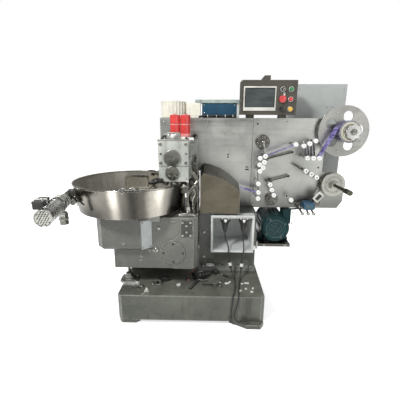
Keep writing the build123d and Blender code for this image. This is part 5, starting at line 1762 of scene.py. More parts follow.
@dataclass
class BrushDrive(SubAssembly):
    """Slotted end cap, rings, ribs and the black terminal cover of the brush motor."""

    cap: Point = (-0.640, -0.695, 0.782)
    turn: float = 10.3
    radius: float = 0.041
    knob_back: float = 0.3

    def spot(self, across: float, up: float, ahead: float) -> Point:
        """Point in the motor's own frame: across it, up, and ahead of its cap.

        Args:
            across: To the right as seen from the cap.
            up: Upwards.
            ahead: Out of the cap.

        Returns:
            The point on the datum.
        """
        a = math.radians(self.turn)
        x, y, z = self.cap
        return (
            x + across * math.cos(a) + ahead * math.sin(a),
            y + across * math.sin(a) - ahead * math.cos(a), z + up
        )

    def facing(self, across: float, up: float, ahead: float) -> Place:
        """Place at a point of the motor, facing along its axis to the front."""
        a = math.radians(self.turn)
        return Place(self.spot(across, up, ahead), (math.cos(a), math.sin(a), 0), (0, 0, 1))

    def slanted(self, across: float, up: float, slope: float) -> Place:
        """Place on the cap's face, turned by a slope in degrees.

        Args:
            across: To the right of the cap's middle.
            up: Above the cap's middle.
            slope: Turn in degrees.

        Returns:
            The place.
        """
        a = math.radians(self.turn)
        side = np.array([math.cos(a), math.sin(a), 0.0])
        rise = np.array([0.0, 0.0, 1.0])
        c, s = math.cos(math.radians(slope)), math.sin(math.radians(slope))
        return Place(self.spot(across, up, 0.0), tuple(c * side + s * rise), tuple(c * rise - s * side))

    def round_spot(self, angle: float, back: float, radius: float) -> Place:
        """Place on the barrel's side at an angle from its top, facing away from its axis.

        Args:
            angle: Angle from the top, in radians.
            back: How far behind the cap.
            radius: Distance from the axis.

        Returns:
            The place.
        """
        a = math.radians(self.turn)
        axis = np.array([math.sin(a), -math.cos(a), 0.0])
        across = np.array([math.cos(a), math.sin(a), 0.0])
        out = across * math.sin(angle) + np.array([0, 0, 1.0]) * math.cos(angle)
        place = np.array(self.cap) - axis * back + out * radius
        return Place(tuple(place), tuple(axis), tuple(np.cross(out, axis)))

    def build(self) -> None:
        """Adds the drive's trim."""
        add = self.bench.add
        r = self.radius
        at = self.facing(0, 0, 0)
        add("brush_cap_rim", hoop(
            [
                (r * 0.86, 0.0), (r * 0.9, 0.003), (r * 0.97, 0.0035), (r * 1.012, 0.0015),
                (r * 1.012, -0.03), (r * 0.98, -0.033)
            ],
            at, 64
        ), Slot.MACHINED_STEEL)
        dish = revolve([
            (0.001, -0.0005), (r * 0.87, -0.0005), (r * 0.87, 0.0004), (r * 0.8, 0.0007),
            (0.001, 0.0007)
        ], at, 56)
        add("brush_cap_face", dish, Slot.BLACK_PLASTIC, finish=CAP_LIGHT)
        # Dark slots on the cap: painted shade of its openings.
        step_across, step_up = 0.0122, 0.0098
        slots = []
        for row in range(-3, 4):
            for column in range(-3, 4):
                across = (column + 0.5 * (row % 2)) * step_across
                if 0.006 < math.hypot(across, row * step_up) < r * 0.77:
                    slots.append(slab(
                        self.slanted(across, row * step_up, 42.0), 0.0108, 0.0042, 0.002, 0.0, 0.0016, 3
                    ))
        add("brush_cap_slots", join(*slots), Slot.BLACK_PLASTIC, finish=CAP_DARK)
        hub = join(cap_screw(self.facing(0.0, 0.0, 0.0005), 0.0035, 0.0025), *[
            cap_screw(self.facing(0.034 * math.cos(b), 0.034 * math.sin(b), 0.0005), 0.0028, 0.0025)
            for b in (0.78, 2.36, 3.93, 5.5)
        ])
        add("brush_cap_screws", hub, Slot.MACHINED_STEEL)
        # Dark slots round the barrel: painted shade of its openings.
        dark = [
            slab(self.round_spot(b, 0.052, r * 0.953), 0.022, 0.0068, 0.002, -0.001, 0.0008, 3)
            for b in np.arange(-2.6, 2.7, 0.3)
        ]
        dark += [
            slab(self.round_spot(b, 0.084, r * 0.953), 0.02, 0.0068, 0.002, -0.001, 0.0008, 3)
            for b in np.arange(-2.45, 2.6, 0.3)
        ]
        add("brush_body_slots", join(*dark), Slot.BLACK_PLASTIC)
        rings = [
            hoop([
                (r * 0.94, d), (r * 1.0, d + 0.001), (r * 1.0, d + w), (r * 0.94, d + w + 0.001)
            ], at, 56)
            for d, w in (
                (-0.042, 0.004), (-0.07, 0.003), (-0.106, 0.007), (-0.125, 0.003), (-0.15, 0.008),
                (-0.19, 0.005)
            )
        ]
        add("brush_body_rings", join(*rings), Slot.MACHINED_STEEL)
        gear = [
            hoop([
                (r * 0.94, d), (r * 1.02, d + 0.002), (r * 1.02, d + w), (r * 0.94, d + w + 0.002)
            ], at, 56)
            for d, w in ((-0.24, 0.006), (-0.262, 0.004), (-0.3, 0.012), (-0.318, 0.004))
        ]
        gear += [
            bolt(self.facing(0.0405 * math.cos(b), 0.0405 * math.sin(b), -0.2045), 0.007, 0.005)
            for b in np.arange(0.4, 6.6, 1.05)
        ]
        add("brush_gear_rings", join(*gear), Slot.CAST_METAL)
        lid = join(slab(
            self.facing(-0.041, 0.041, -0.1165), 0.0505, 0.0385, 0.005, -0.0475, 0.0475
        ), slab(self.facing(-0.041, 0.0555, -0.1165), 0.053, 0.012, 0.003, -0.049, 0.049))
        add("brush_terminal_cover", lid, Slot.BLACK_PLASTIC, bevel=0.002)
        strap = join(
            slab(self.facing(-0.041, 0.0415, -0.1165), 0.0575, 0.0445, 0.006, -0.006, 0.006),
            *[
                cap_screw(Place(
                    self.spot(-0.041 + sx * 0.02, 0.0615, -0.1165 + sy * 0.038), (1, 0, 0), (0, 1, 0)
                ), 0.0032, 0.002)
                for sx in (-1, 1) for sy in (-1, 1)
            ]
        )
        add("brush_terminal_strap", strap, Slot.WHITE_PLASTIC, finish=PALE_ZINC, bevel=0.001)
        fin = [
            slab(self.round_spot(b, 0.155, r * 0.945), 0.1, 0.0026, 0.0012, -0.001, 0.0026, 2)
            for b in np.arange(1.1, 5.6, 0.2)
        ]
        add("brush_body_fins", join(*fin), Slot.MOTOR_GREY)
        kx, ky, _ = self.spot(0, 0, -self.knob_back)
        knob = join(
            prism(polygon(6, 0.0262, 0.2), top(kx, ky, 0.716), -0.012, 0.0),
            revolve(mm(4, 0, 20, 0, 22, 3, 22, 7, 4, 8), top(kx, ky, 0.715), 32),
            *[
                bolt(Place(
                    (kx + 0.0227 * math.cos(b), ky + 0.0227 * math.sin(b), 0.685),
                    (-math.sin(b), math.cos(b), 0), (0, 0, 1)
                ), 0.008, 0.004)
                for b in (self.turn * math.pi / 180 + math.pi / 6 + k * math.pi / 3 for k in range(6))
            ],
        )
        add("brush_knob_trim", knob, Slot.MACHINED_STEEL, bevel=0.0008)


@dataclass
class HeadTrim(SubAssembly):
    """Bolts, turned disc faces, top clamp, cup caps and side screws of the wrapping head."""

    face: float = -0.193
    discs: Point = (-0.115, 0.997, 0.908)
    cups: Pair = (-0.108, -0.044)
    cup_y: float = -0.060
    cup_low: float = 1.112
    cup_radius: float = 0.031

    def disc_face(self, z: float, radius: float) -> Form:
        """Turned face of a disc: a stepped rim, a shallow dish and a domed boss."""
        profile = [
            (radius * 0.99, -0.001), (radius * 0.99, 0.0008), (radius * 0.94, 0.002),
            (radius * 0.86, 0.0012), (radius * 0.3, 0.0009), (radius * 0.27, 0.004),
            (radius * 0.16, 0.0058), (radius * 0.05, 0.0052), (0.0006, 0.0045)
        ]
        return revolve(profile, front(self.discs[0], self.face - 0.008, z), 72)

    def cup_trim(self, x: float) -> tuple[Form, Form]:
        """Pale band round a cup, and a darker cap with a filler screw on its top.

        Args:
            x: Where the cup stands.

        Returns:
            The bands and the cap.
        """
        r, z = self.cup_radius, self.cup_low
        band = hoop([
            (r - 0.001, 0.07), (r + 0.0012, 0.0715), (r + 0.0012, 0.0765), (r - 0.001, 0.078)
        ], top(x, self.cup_y, z), 48)
        base = hoop([
            (r - 0.001, 0.001), (r + 0.0012, 0.001), (r + 0.0012, 0.018), (r - 0.001, 0.021)
        ], top(x, self.cup_y, z), 48)
        cap = revolve([
            (r * 0.96, -0.001), (r * 0.96, 0.001), (r * 0.8, 0.004), (0.012, 0.0045), (0.011, 0.009),
            (0.001, 0.0095)
        ], top(x, self.cup_y, z + 0.128), 40)
        return join(band, base), cap

    def build(self) -> None:
        """Adds the head's trim."""
        add = self.bench.add
        x, upper, lower = self.discs
        add("upper_disc_face", self.disc_face(upper, 0.0485), Slot.DARK_STEEL, finish=UPPER_DISC)
        add("lower_disc_face", self.disc_face(lower, 0.041), Slot.DARK_STEEL, finish=LOWER_DISC)
        pads = [
            revolve(
                mm(1, 1, 7.5, 1, 8.5, 3.2, 5, 6.2, 1, 6.2),
                ring_spot(x, self.face - 0.008, lower, 0.026, a), 24
            )
            for a in (-0.75, -2.4)
        ]
        pads += [
            revolve(
                mm(1, 1, 5.2, 1, 5.2, 4, 1, 4.5), ring_spot(x, self.face - 0.008, lower, 0.028, a), 20
            )
            for a in (0.5, -1.57, -3.5)
        ]
        add("lower_disc_screws", join(*pads), Slot.WHITE_PLASTIC, finish=BOSS_STEEL)
        hexes = [
            bolt(front(bx, self.face, bz), 0.0125, 0.0075) for bx in (-0.182, -0.034)
            for bz in (1.076, 0.968)
        ]
        dowels = [
            cap_screw(front(bx, self.face - 0.0035, 1.022), 0.0046, 0.002) for bx in (-0.182, -0.034)
        ]
        add("head_bolts", join(*hexes), Slot.MACHINED_STEEL, finish=BOSS_STEEL)
        add("head_dowels", join(*dowels), Slot.BLACK_PLASTIC)
        low = [cap_screw(front(bx, self.face, 0.872), 0.004, 0.0024) for bx in (-0.185, -0.031)]
        seam = slab(front(-0.108, self.face, 0.9475), 0.176, 0.0022, 0.0008, -0.001, 0.0006, 2)
        add("head_seam", join(seam, *low), Slot.BLACK_RUBBER)
        cap = slab(front(-0.108, -0.182, 1.0985), 0.182, 0.011, 0.003, -0.014, 0.0115)
        add("head_top_rail", cap, Slot.MACHINED_STEEL, finish=DULL_ZINC, bevel=0.0008)
        clamp = join(block(
            front(-0.107, -0.15, 1.1215), 0.08, 0.042, 0.034, 0.006
        ), block(front(-0.107, -0.184, 1.1115), 0.066, 0.02, 0.006, 0.003))
        add("cup_clamp", clamp, Slot.CAST_METAL, finish=DULL_ZINC, bevel=0.0015)
        chrome = join(
            revolve(mm(1, 0, 12.5, 0, 12.5, 8, 9, 12, 1, 12), front(-0.11, -0.19, 1.122), 28),
            sweep([
                (-0.112, -0.198, 1.122), (-0.098, -0.205, 1.128), (-0.087, -0.204, 1.134)
            ], rounded(0.006, 0.008, 0.002, 3), guide=(0, 1, 0), smooth=5),
            bolt(front(-0.135, -0.184, 1.128), 0.008, 0.005)
        )
        add("cup_clamp_lever", chrome, Slot.WHITE_PLASTIC, finish=PALE_ZINC)
        add("head_top_block", join(
            block(top(-0.055, -0.165, 1.097), 0.034, 0.024, 0.02, 0.004),
            block(top(-0.01, -0.12, 1.097), 0.04, 0.02, 0.014, 0.004)
        ), Slot.WHITE_PLASTIC, bevel=0.001)
        handle = sweep([
            (-0.176, -0.165, 1.098), (-0.168, -0.168, 1.116), (-0.156, -0.17, 1.122),
            (-0.148, -0.168, 1.118)
        ], rounded(0.012, 0.01, 0.003, 3), guide=(0, 1, 0), smooth=5)
        add("head_top_handle", join(
            handle, block(top(-0.178, -0.16, 1.097), 0.02, 0.02, 0.008, 0.003),
            cap_screw(top(-0.028, -0.14, 1.098), 0.007, 0.01)
        ), Slot.BLACK_PLASTIC)
        bands, caps = zip(*(self.cup_trim(cx) for cx in self.cups))
        add("cup_bands", join(*bands), Slot.RED_PLASTIC, finish=PINK_BAND)
        add("cup_caps", join(*caps), Slot.RED_PLASTIC, finish=CUP_CAP)
        ear = join(bolt(front(0.012, 0.010, 1.113), 0.022, 0.012), *[
            bolt(front(0.014, 0.010, 0.93 + k * 0.06), 0.011, 0.007) for k in (0, 1)
        ])
        add("head_ear_bolt", ear, Slot.DARK_STEEL)
        sides = []
        for k in range(4):
            sx = -0.029 + (k + 1) * 0.009
            sy = -0.17 + k * 0.026 + 0.008
            sides += [bolt(right(sx, sy, z), 0.0085, 0.005) for z in (1.08, 1.0, 0.925, 0.888)]
            sides.append(slab(right(sx, sy, 1.04), 0.006, 0.05, 0.0028, -0.0005, 0.001))
        add("head_side_screws", join(*sides), Slot.DARK_STEEL)
        left_side = [
            bolt(left(-0.187, y, z), 0.011, 0.006) for y in (-0.14, -0.07, 0.0, 0.07)
            for z in (0.9, 1.05)
        ]
        add("head_left_bolts", join(*left_side), Slot.MACHINED_STEEL)


@dataclass
class PlateTrim(SubAssembly):
    """Boss faces, slots, holes and screws on the front plate, and the wheel guard's rivets."""

    face: float = 0.130
    boss_face: float = 0.118
    bosses: tuple[tuple[float, float, float], ...] = ((0.463, 1.072, 0.048), (0.546, 0.678, 0.044))

    def boss(self, x: float, z: float, radius: float) -> Form:
        """Stepped ring on a boss, with a circle of six bolts and a domed middle.

        Args:
            x: Where the boss stands.
            z: Its height.
            radius: Its radius.

        Returns:
            The boss's face.
        """
        ring = revolve([
            (radius * 0.99, 0.0), (radius * 0.99, 0.003), (radius * 0.9, 0.0055),
            (radius * 0.8, 0.0055), (radius * 0.76, 0.002), (radius * 0.5, 0.002),
            (radius * 0.47, 0.015), (radius * 0.4, 0.018), (radius * 0.12, 0.0185),
            (radius * 0.1, 0.015), (0.001, 0.0145)
        ], front(x, self.boss_face, z), 56)
        bolts = [
            bolt(ring_spot(x, self.boss_face - 0.0015, z, radius * 0.64, a), 0.011, 0.008)
            for a in np.arange(6) * math.pi / 3 + 0.3
        ]
        return join(ring, *bolts)

    def build(self) -> None:
        """Adds the trim."""
        add = self.bench.add
        add("upper_boss_face", self.boss(*self.bosses[0]), Slot.MACHINED_STEEL, finish=LINK_STEEL)
        add("lower_boss_face", self.boss(*self.bosses[1]), Slot.MACHINED_STEEL, finish=LINK_STEEL)
        arm = sweep([
            (0.463, 0.092, 1.072), (0.468, 0.085, 1.045), (0.47, 0.082, 1.02), (0.472, 0.08, 1.0)
        ], rounded(0.015, 0.008, 0.003, 3), guide=(0, 1, 0), smooth=4)
        add("boss_lever", join(
            arm, bolt(front(0.463, 0.092, 1.072), 0.013, 0.009),
            bolt(front(0.472, 0.082, 1.002), 0.01, 0.007)
        ), Slot.MACHINED_STEEL)
        # Dark discs and slots: painted shade of the plate's holes.
        dark = [
            revolve(mm(1, -0.5, 6.2, -0.5, 6.2, 0.6, 1, 0.6), front(x, self.face, z), 20)
            for x, z in (
                (0.233, 0.985), (0.233, 0.968), (0.367, 0.883), (0.52, 0.63), (0.86, 0.66),
                (0.425, 1.19), (0.855, 0.9)
            )
        ]
        dark.append(slab(front(0.365, self.face, 0.9), 0.02, 0.007, 0.003, -0.0005, 0.0006))
        dark.append(slab(front(0.3655, self.face, 0.8833), 0.03, 0.0075, 0.0034, -0.0005, 0.0006))
        dark.append(slab(front(0.505, self.face, 0.645), 0.005, 0.022, 0.0024, -0.0005, 0.0006))
        add("plate_holes", join(*dark), Slot.BLACK_RUBBER)
        seam = slab(front(0.3965, self.face, 0.92), 0.0014, 0.6, 0.0006, -0.0005, 0.0005, 2)
        add("plate_seam_line", seam, Slot.BLACK_RUBBER)
        screws = [
            cap_screw(front(x, self.face, z), 0.005, 0.003)
            for x, z in (
                (-0.2, 1.2), (0.1, 1.205), (0.38, 1.205), (0.62, 1.205), (0.865, 1.19), (0.865, 0.76),
                (0.42, 0.63), (0.8, 0.63), (-0.21, 0.9)
            )
        ]
        add("plate_screws", join(*screws), Slot.MACHINED_STEEL)
        rivets = [
            revolve(mm(1, -0.5, 4, 0, 3.6, 1.6, 1.5, 2.4, 1, 2.4), front(x, -0.09, z), 14)
            for x, z in ((0.06, 0.64), (0.06, 0.76), (0.06, 0.87), (0.29, 0.645), (0.288, 0.75))
        ]
        hem = sweep([
            (0.049, -0.0905, 0.633), (0.16, -0.0905, 0.631), (0.298, -0.0905, 0.631)
        ], rounded(0.003, 0.006, 0.0012, 2), guide=(0, 0, 1))
        add("guard_rivets", join(*rivets), Slot.MACHINED_STEEL, finish=GUARD_STEEL)
        add("guard_hem", hem, Slot.POLISHED_STEEL, finish=GUARD_STEEL)
        rollers = []
        for x, z in ((0.739, 0.623), (0.767, 0.6185), (0.805, 0.6185)):
            rollers.append(revolve(
                mm(3, 0, 9.5, 0, 9.5, 22, 8, 26, 4, 26.5, 1, 25), front(x, self.face - 0.002, z), 24
            ))
        add("edge_rollers", join(*rollers), Slot.WHITE_PLASTIC)
        harness = tube([
            (0.62, 0.15, 0.602), (0.7, 0.15, 0.596), (0.76, 0.15, 0.6), (0.83, 0.152, 0.594),
            (0.868, 0.155, 0.6)
        ], 0.0065, 12, 6)
        add("edge_harness", harness, Slot.BLACK_RUBBER)


@dataclass
class FilmPath(SubAssembly):
    """Film from the upper reel round the guide rollers to the folding wheel, and the rollers' caps."""

    middle: float = 0.045
    width: float = 0.076
    radius: float = 0.0078
    tip: float = -0.010
    clip_arms: tuple[tuple[Point, ...], ...] = (
        ((0.704, 0.1, 0.65), (0.712, 0.07, 0.642), (0.722, 0.045, 0.63), (0.7461, 0.04, 0.5949)),
        ((0.764, 0.03, 0.645), (0.77, 0.032, 0.628), (0.785, 0.04, 0.5939)),
        ((0.7917, 0.03, 0.645), (0.8, 0.032, 0.628), (0.8237, 0.04, 0.5937)),
    )
    plate: Pair = (0.396, 0.611)
    left_group: Pairs = (
        (0.068, 0.378), (0.035, 0.365), (0.063, 0.341), (0.033, 0.324), (0.057, 0.304), (0.038, 0.281)
    )
    low_group: Pairs = (
        (0.032, 0.198), (0.035, 0.14), (0.034, 0.098), (0.109, 0.193), (0.123, 0.157), (0.138, 0.122),
        (0.254, 0.09)
    )
    top_group: Pairs = ((0.256, 0.454), (0.307, 0.445), (0.343, 0.459), (0.379, 0.477))
    row_group: Pairs = ((0.337, 0.368), (0.375, 0.368), (0.413, 0.368))

    def turn(self, roller: Pair, start: float, end: float) -> np.ndarray:
        """Arc round a roller: centre + r (cos a, sin a), for a from start to end in degrees.

        Args:
            roller: The roller's place from the plate's seam and lower edge.
            start: Angle at which the film meets it.
            end: Angle at which the film leaves it.

        Returns:
            Points of the arc, in X and Z.
        """
        a = np.radians(np.linspace(start, end, 9))
        centre = np.array(roller) + np.array(self.plate)
        return centre + self.radius * np.stack([np.cos(a), np.sin(a)], axis=-1)

    def ribbon(
        self, name: str, route: np.ndarray, finish: Film | None = None, share: float = 1.0
    ) -> None:
        """Adds a strip of film: its thin section carried along the route.

        Args:
            name: The piece's name.
            route: Points in X and Z, in order.
            finish: A finish in place of the slot's.
            share: Share of the film's width that it keeps.
        """
        middle = self.middle + self.width * (1 - share) / 2
        path = np.column_stack([route[:, 0], np.full(len(route), middle), route[:, 1]])
        keep = np.concatenate([[True], np.linalg.norm(np.diff(path, axis=0), axis=1) > 1e-5])
        self.bench.add(name, sweep(
            path[keep], rounded(0.0007, self.width * share, 0.0003, 2), guide=(0, 1, 0)
        ), Slot.FILM_PURPLE, finish=finish)

    def build(self) -> None:
        """Adds the film, the rollers' caps, the film's bent bar and the sensor's square head."""
        add = self.bench.add
        over, row, side, low = self.top_group, self.row_group, self.left_group, self.low_group
        rollers = side + low + over + row
        self.ribbon("film_feed", np.concatenate([[(0.918, 1.1722)], self.turn(row[2], -23, -100)]))
        loops = np.concatenate([
            self.turn(row[2], -100, -170), self.turn(over[3], 12, 184), self.turn(row[1], 8, -170),
            self.turn(over[2], 12, 186), self.turn(row[0], 8, -168), self.turn(over[1], 14, 84),
            self.turn(over[0], 96, 112),
        ])
        self.ribbon("film_loops", loops, FILM_DARK, 0.4)
        zigzag = np.concatenate([
            self.turn(side[0], 113, 130), self.turn(side[1], 110, 230), self.turn(side[2], 50, -50),
            self.turn(side[3], 130, 230), self.turn(side[4], 50, -50), self.turn(side[5], 130, 196),
            self.turn(low[0], 12, -4), self.turn(low[1], 6, -100),
        ])
        self.ribbon("film_lower_run", zigzag, FILM_DARK, share=0.6)
        cross = np.concatenate([self.turn(side[0], -70, -68), self.turn(over[0], -68, -66)])
        self.ribbon("film_cross_run", cross, share=0.7)
        self.ribbon("film_entry", np.concatenate([self.turn(low[1], -80, -100), [(0.318, 0.772)]]))
        caps = []
        for x, z in rollers:
            cap = mm(
                7.4, -0.8, 14.5, -0.8, 14.9, 2, 14.9, 12.5, 13.5, 14.6, 6.5, 14.9, 5, 13.8, 2.2, 13.6,
                1, 14.2
            )
            caps.append(revolve(
                cap, front(self.plate[0] + x, self.tip + 0.0142, self.plate[1] + z), 28
            ))
        for s in (0.34, 0.54, 0.74):
            caps.append(revolve(
                cap,
                front(
                    self.plate[0] + 0.274 + 0.18 * s, self.tip + 0.0142,
                    self.plate[1] + 0.321 - 0.106 * s
                ),
                28
            ))
        add("roller_caps", join(*caps), Slot.WHITE_PLASTIC, finish=ROLLER_WHITE)
        sleeve = mm(6.6, 0, 7.4, 0.6, 7.4, 30, 9.2, 31, 9.2, 36, 6.6, 37)
        sleeves = [
            hoop(sleeve, front(self.plate[0] + x, 0.119, self.plate[1] + z), 24)
            for x, z in side[:2] + low[3:] + over[:1]
        ]
        add("roller_sleeves", join(*sleeves), Slot.BLACK_PLASTIC)
        tags = [
            hoop(
                mm(6.6, 0, 12.8, 0.5, 12.8, 3.5, 6.6, 4),
                front(self.plate[0] + x, 0.1195, self.plate[1] + z), 24
            )
            for x, z in rollers
        ]
        add("roller_collars", join(*tags), Slot.MACHINED_STEEL)
        wire = tube([
            (0.868, 0.108, 0.824), (0.872, 0.1, 0.785), (0.869, 0.1, 0.746), (0.856, 0.1, 0.715),
            (0.848, 0.1, 0.7)
        ], 0.006, 10, 6, (0, 1, 0))
        add("film_rest_bar", join(
            wire, revolve(mm(1, 0, 12, 0, 12, 8, 1, 10), front(0.868, 0.13, 0.824), 20),
            tube([(0.868, 0.13, 0.824), (0.868, 0.105, 0.824)], 0.006, 10, 1)
        ), Slot.DARK_STEEL)
        a = math.radians(50)
        tilt = Place(
            (0.8414, 0.038, 0.7125), (math.cos(a), 0, math.sin(a)), (-math.sin(a), 0, math.cos(a))
        )
        add(
            "eye_mount", slab(tilt, 0.066, 0.044, 0.004, -0.006, 0.006), Slot.WHITE_PLASTIC, bevel=0.001
        )
        add(
            "eye_face", slab(tilt, 0.044, 0.024, 0.003, 0.004, 0.0085), Slot.BLACK_PLASTIC, bevel=0.0008
        )
        cover = slab(front(0.783, 0.091, 0.6515), 0.073, 0.05, 0.012, 0.0, 0.073)
        add("web_sensor_cover", cover, Slot.BLUE_PAINT, bevel=0.003)
        sensor = join(
            slab(front(0.783, 0.018, 0.651), 0.05, 0.026, 0.004, -0.001, 0.002),
            cap_screw(front(0.761, 0.0165, 0.66), 0.003, 0.002),
            cap_screw(front(0.805, 0.0165, 0.642), 0.003, 0.002),
        )
        add("web_sensor_plate", sensor, Slot.MACHINED_STEEL, finish=BLUE_LABEL, bevel=0.0006)
        rim = mm(1, 0, 8, 0, 9, 3, 6, 3.5, 5, 2, 1, 2)
        add("web_sensor_lens", revolve(rim, front(0.776, 0.0165, 0.652), 28), Slot.SCREEN_GLASS)
        arms, knobs = [], []
        for route in self.clip_arms:
            arms.append(tube(list(route), 0.0065, 10, 4, (0, 1, 0)))
            x, y, z = route[-1]
            head = mm(1, 0, 10, 0, 11.5, 2, 11.5, 12, 9.5, 14, 1, 14)
            knobs.append(revolve(head, front(x, y + 0.004, z), 24))
        add("clip_arms", join(*arms), Slot.DARK_STEEL, finish=CAP_DARK)
        add("clip_knobs", join(*knobs), Slot.MACHINED_STEEL, finish=DULL_ZINC)


@dataclass
class ReelTrim(SubAssembly):
    """Core lip, knob bolt, wound film, disc rim and screws, and hub ring of the two film reels."""

    upper: Pair = (0.982, 1.145)
    lower: Pair = (0.953, 0.789)

    def build(self) -> None:
        """Adds the trim, each piece on its reel's body."""
        add = self.bench.add
        x, z = self.upper
        add("upper_core_lip", hoop(
            mm(46, 0, 57.2, 0, 57.2, 4.2, 54, 5.5, 48, 5), front(x, -0.0085, z), 64
        ), Slot.WHITE_PLASTIC, body="upper_reel", finish=CORE_CREAM)
        add("knob_bolt", join(
            bolt(front(x, -0.054, z), 0.019, 0.013),
            hoop(mm(9, -1, 20.5, 0, 20.5, 3, 9, 5), front(x, -0.054, z), 36)
        ), Slot.WHITE_PLASTIC, body="upper_reel", finish=BOSS_STEEL)
        wound = [
            hoop([
                (r - 0.0006, 0.0), (r + 0.0006, 0.0), (r + 0.0006, 0.0012), (r - 0.0006, 0.0012)
            ], front(x, -0.0038, z), 72)
            for r in (0.061, 0.0635, 0.0665)
        ]
        add("film_wound_edges", join(*wound), Slot.FILM_PURPLE, body="upper_reel", finish=FILM_DARK)
        face = hoop(mm(57.5, -0.5, 68.3, -0.5, 68.3, 0.9, 57.5, 0.9), front(x, -0.004, z), 96)
        add("film_roll_face", face, Slot.FILM_PURPLE, body="upper_reel", finish=WOUND_EDGE)
        depth = side_of("film_roll", 1, True) - side_of("film_roll", 1, False)
        band = [
            (0.05, 0.0), (0.0678, 0.0), (0.0686, 0.0008), (0.0686, depth - 0.0008), (0.0678, depth),
            (0.05, depth)
        ]
        wound_film = hoop(band, front(x, side_of("film_roll", 1, True), z), 96)
        roll = add("film_wound", wound_film, Slot.FILM_PURPLE, body="upper_reel", finish=FILM_ROLL)
        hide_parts("film_roll")
        add("upper_disc_rim", hoop(
            mm(161.5, 0, 164.8, 0, 164.8, 8.5, 161.5, 8.5), front(x, 0.10025, z), 96
        ), Slot.MACHINED_STEEL, body="upper_reel")
        screws = [
            bolt(ring_spot(x, 0.092, z, 0.128, a), 0.009, 0.005)
            for a in np.arange(5) * 2 * np.pi / 5 + 0.733
        ]
        add("upper_disc_screws", join(*screws), Slot.MACHINED_STEEL, body="upper_reel")
        x, z = self.lower
        ring = hoop(mm(50, 0, 53, 1.4, 56, 1.4, 59, 0), front(x, 0.084, z), 72)
        add("lower_hub_ring", ring, Slot.MACHINED_STEEL, body="lower_reel", finish=HUB_STEEL)


@dataclass
class SocketTrim(SubAssembly):
    """Pale edge of the socket box, screws, rings and painted glints of its sockets, bands on the leads'
    connectors.
    """

    box: tuple[float, float, float, float] = (0.119, 0.403, 0.357, 0.614)
    face: float = -0.085
    sockets: Pair = (0.214, 0.335)
    socket_y: float = -0.050

    def build(self) -> None:
        """Adds the trim."""
        add = self.bench.add
        x0, x1, z0, z1 = self.box
        w = 0.0095
        rails = [
            slab(front((x0 + x1) / 2, self.face, z1 - w / 2), x1 - x0, w, 0.0025, -0.0005, 0.003, 3),
            slab(front((x0 + x1) / 2, self.face, z0 + w / 2), x1 - x0, w, 0.0025, -0.0005, 0.003, 3),
            slab(front(x0 + w / 2, self.face, (z0 + z1) / 2), w, z1 - z0, 0.0025, -0.0005, 0.0028, 3),
            slab(front(x1 - w / 2, self.face, (z0 + z1) / 2), w, z1 - z0, 0.0025, -0.0005, 0.0028, 3),
        ]
        add("socket_box_rim", join(*rails), Slot.WHITE_PLASTIC, finish=BOX_RIM, bevel=0.0008)
        bright = []
        for x in self.sockets:
            # Pale triangle on each socket: a painted glint.
            bright.append(prism(
                np.array(mm(-11, 8, 11, 8, 3, -12, -3, -12)), front(x, self.socket_y - 0.0318, 0.578),
                -0.001, 0.0028
            ))
            bright += [
                bolt(front(x + s * 0.021, self.socket_y - 0.0265, 0.59), 0.007, 0.005) for s in (-1, 1)
            ]
        add("socket_glints_and_screws", join(*bright), Slot.WHITE_PLASTIC, finish=PALE_ZINC)
        collar = mm(13.4, 540, 20, 545, 27, 558, 32.5, 572, 32.5, 590, 30, 593.5, 13.4, 593.5)
        add("socket_collars", join(
            *[hoop(collar, top(x, self.socket_y, 0.0), 36) for x in self.sockets]
        ), Slot.BLACK_PLASTIC, finish=CAP_DARK)
        rings = []
        for x in self.sockets:
            rings += [
                hoop(mm(12.8, 0, 15.2, 1, 15.2, 5, 12.8, 6), top(x, self.socket_y, z), 32)
                for z in (0.515, 0.53, 0.545)
            ]
        add("socket_rings", join(*rings), Slot.BLACK_PLASTIC)
        bands = []
        for start, end in (
            ((0.236, -0.102, 0.340), (0.262, -0.112, 0.226)),
            ((0.331, -0.106, 0.336), (0.320, -0.126, 0.226))
        ):
            a, b = np.array(start), np.array(end)
            along = (b - a) / np.linalg.norm(b - a)
            side = np.cross(along, (0.0, 1.0, 0.0))
            bands.append(hoop(
                mm(9.8, -11, 11.2, -10.5, 11.2, 10.5, 9.8, 11),
                Place(tuple((a + b) / 2), tuple(side), tuple(np.cross(along, side))), 28
            ))
        add("connector_bands", join(*bands), Slot.WHITE_PLASTIC)
        inside = [
            cap_screw(front(x, 0.169, z), 0.004, 0.003) for x in (0.15, 0.38) for z in (0.39, 0.58)
        ]
        inside.append(slab(front(0.375, 0.169, 0.47), 0.02, 0.03, 0.003, -0.0005, 0.006))
        add("socket_box_inside", join(*inside), Slot.MACHINED_STEEL)
        latch = join(
            slab(front(0.4115, -0.06, 0.386), 0.012, 0.03, 0.003, -0.001, 0.012),
            bolt(right(0.403, -0.03, 0.57), 0.009, 0.005), bolt(right(0.403, 0.05, 0.57), 0.009, 0.005),
            bolt(right(0.403, -0.03, 0.38), 0.009, 0.005)
        )
        add("socket_box_latch", latch, Slot.WHITE_PLASTIC, finish=PALE_ZINC, bevel=0.001)
        plate = join(slab(
            front(0.4405, 0.014, 0.3725), 0.012, 0.052, 0.003, -0.001, 0.008
        ), slab(front(0.424, 0.014, 0.3505), 0.045, 0.01, 0.003, -0.001, 0.009))
        add("bracket_angle", plate, Slot.WHITE_PLASTIC, bevel=0.001)


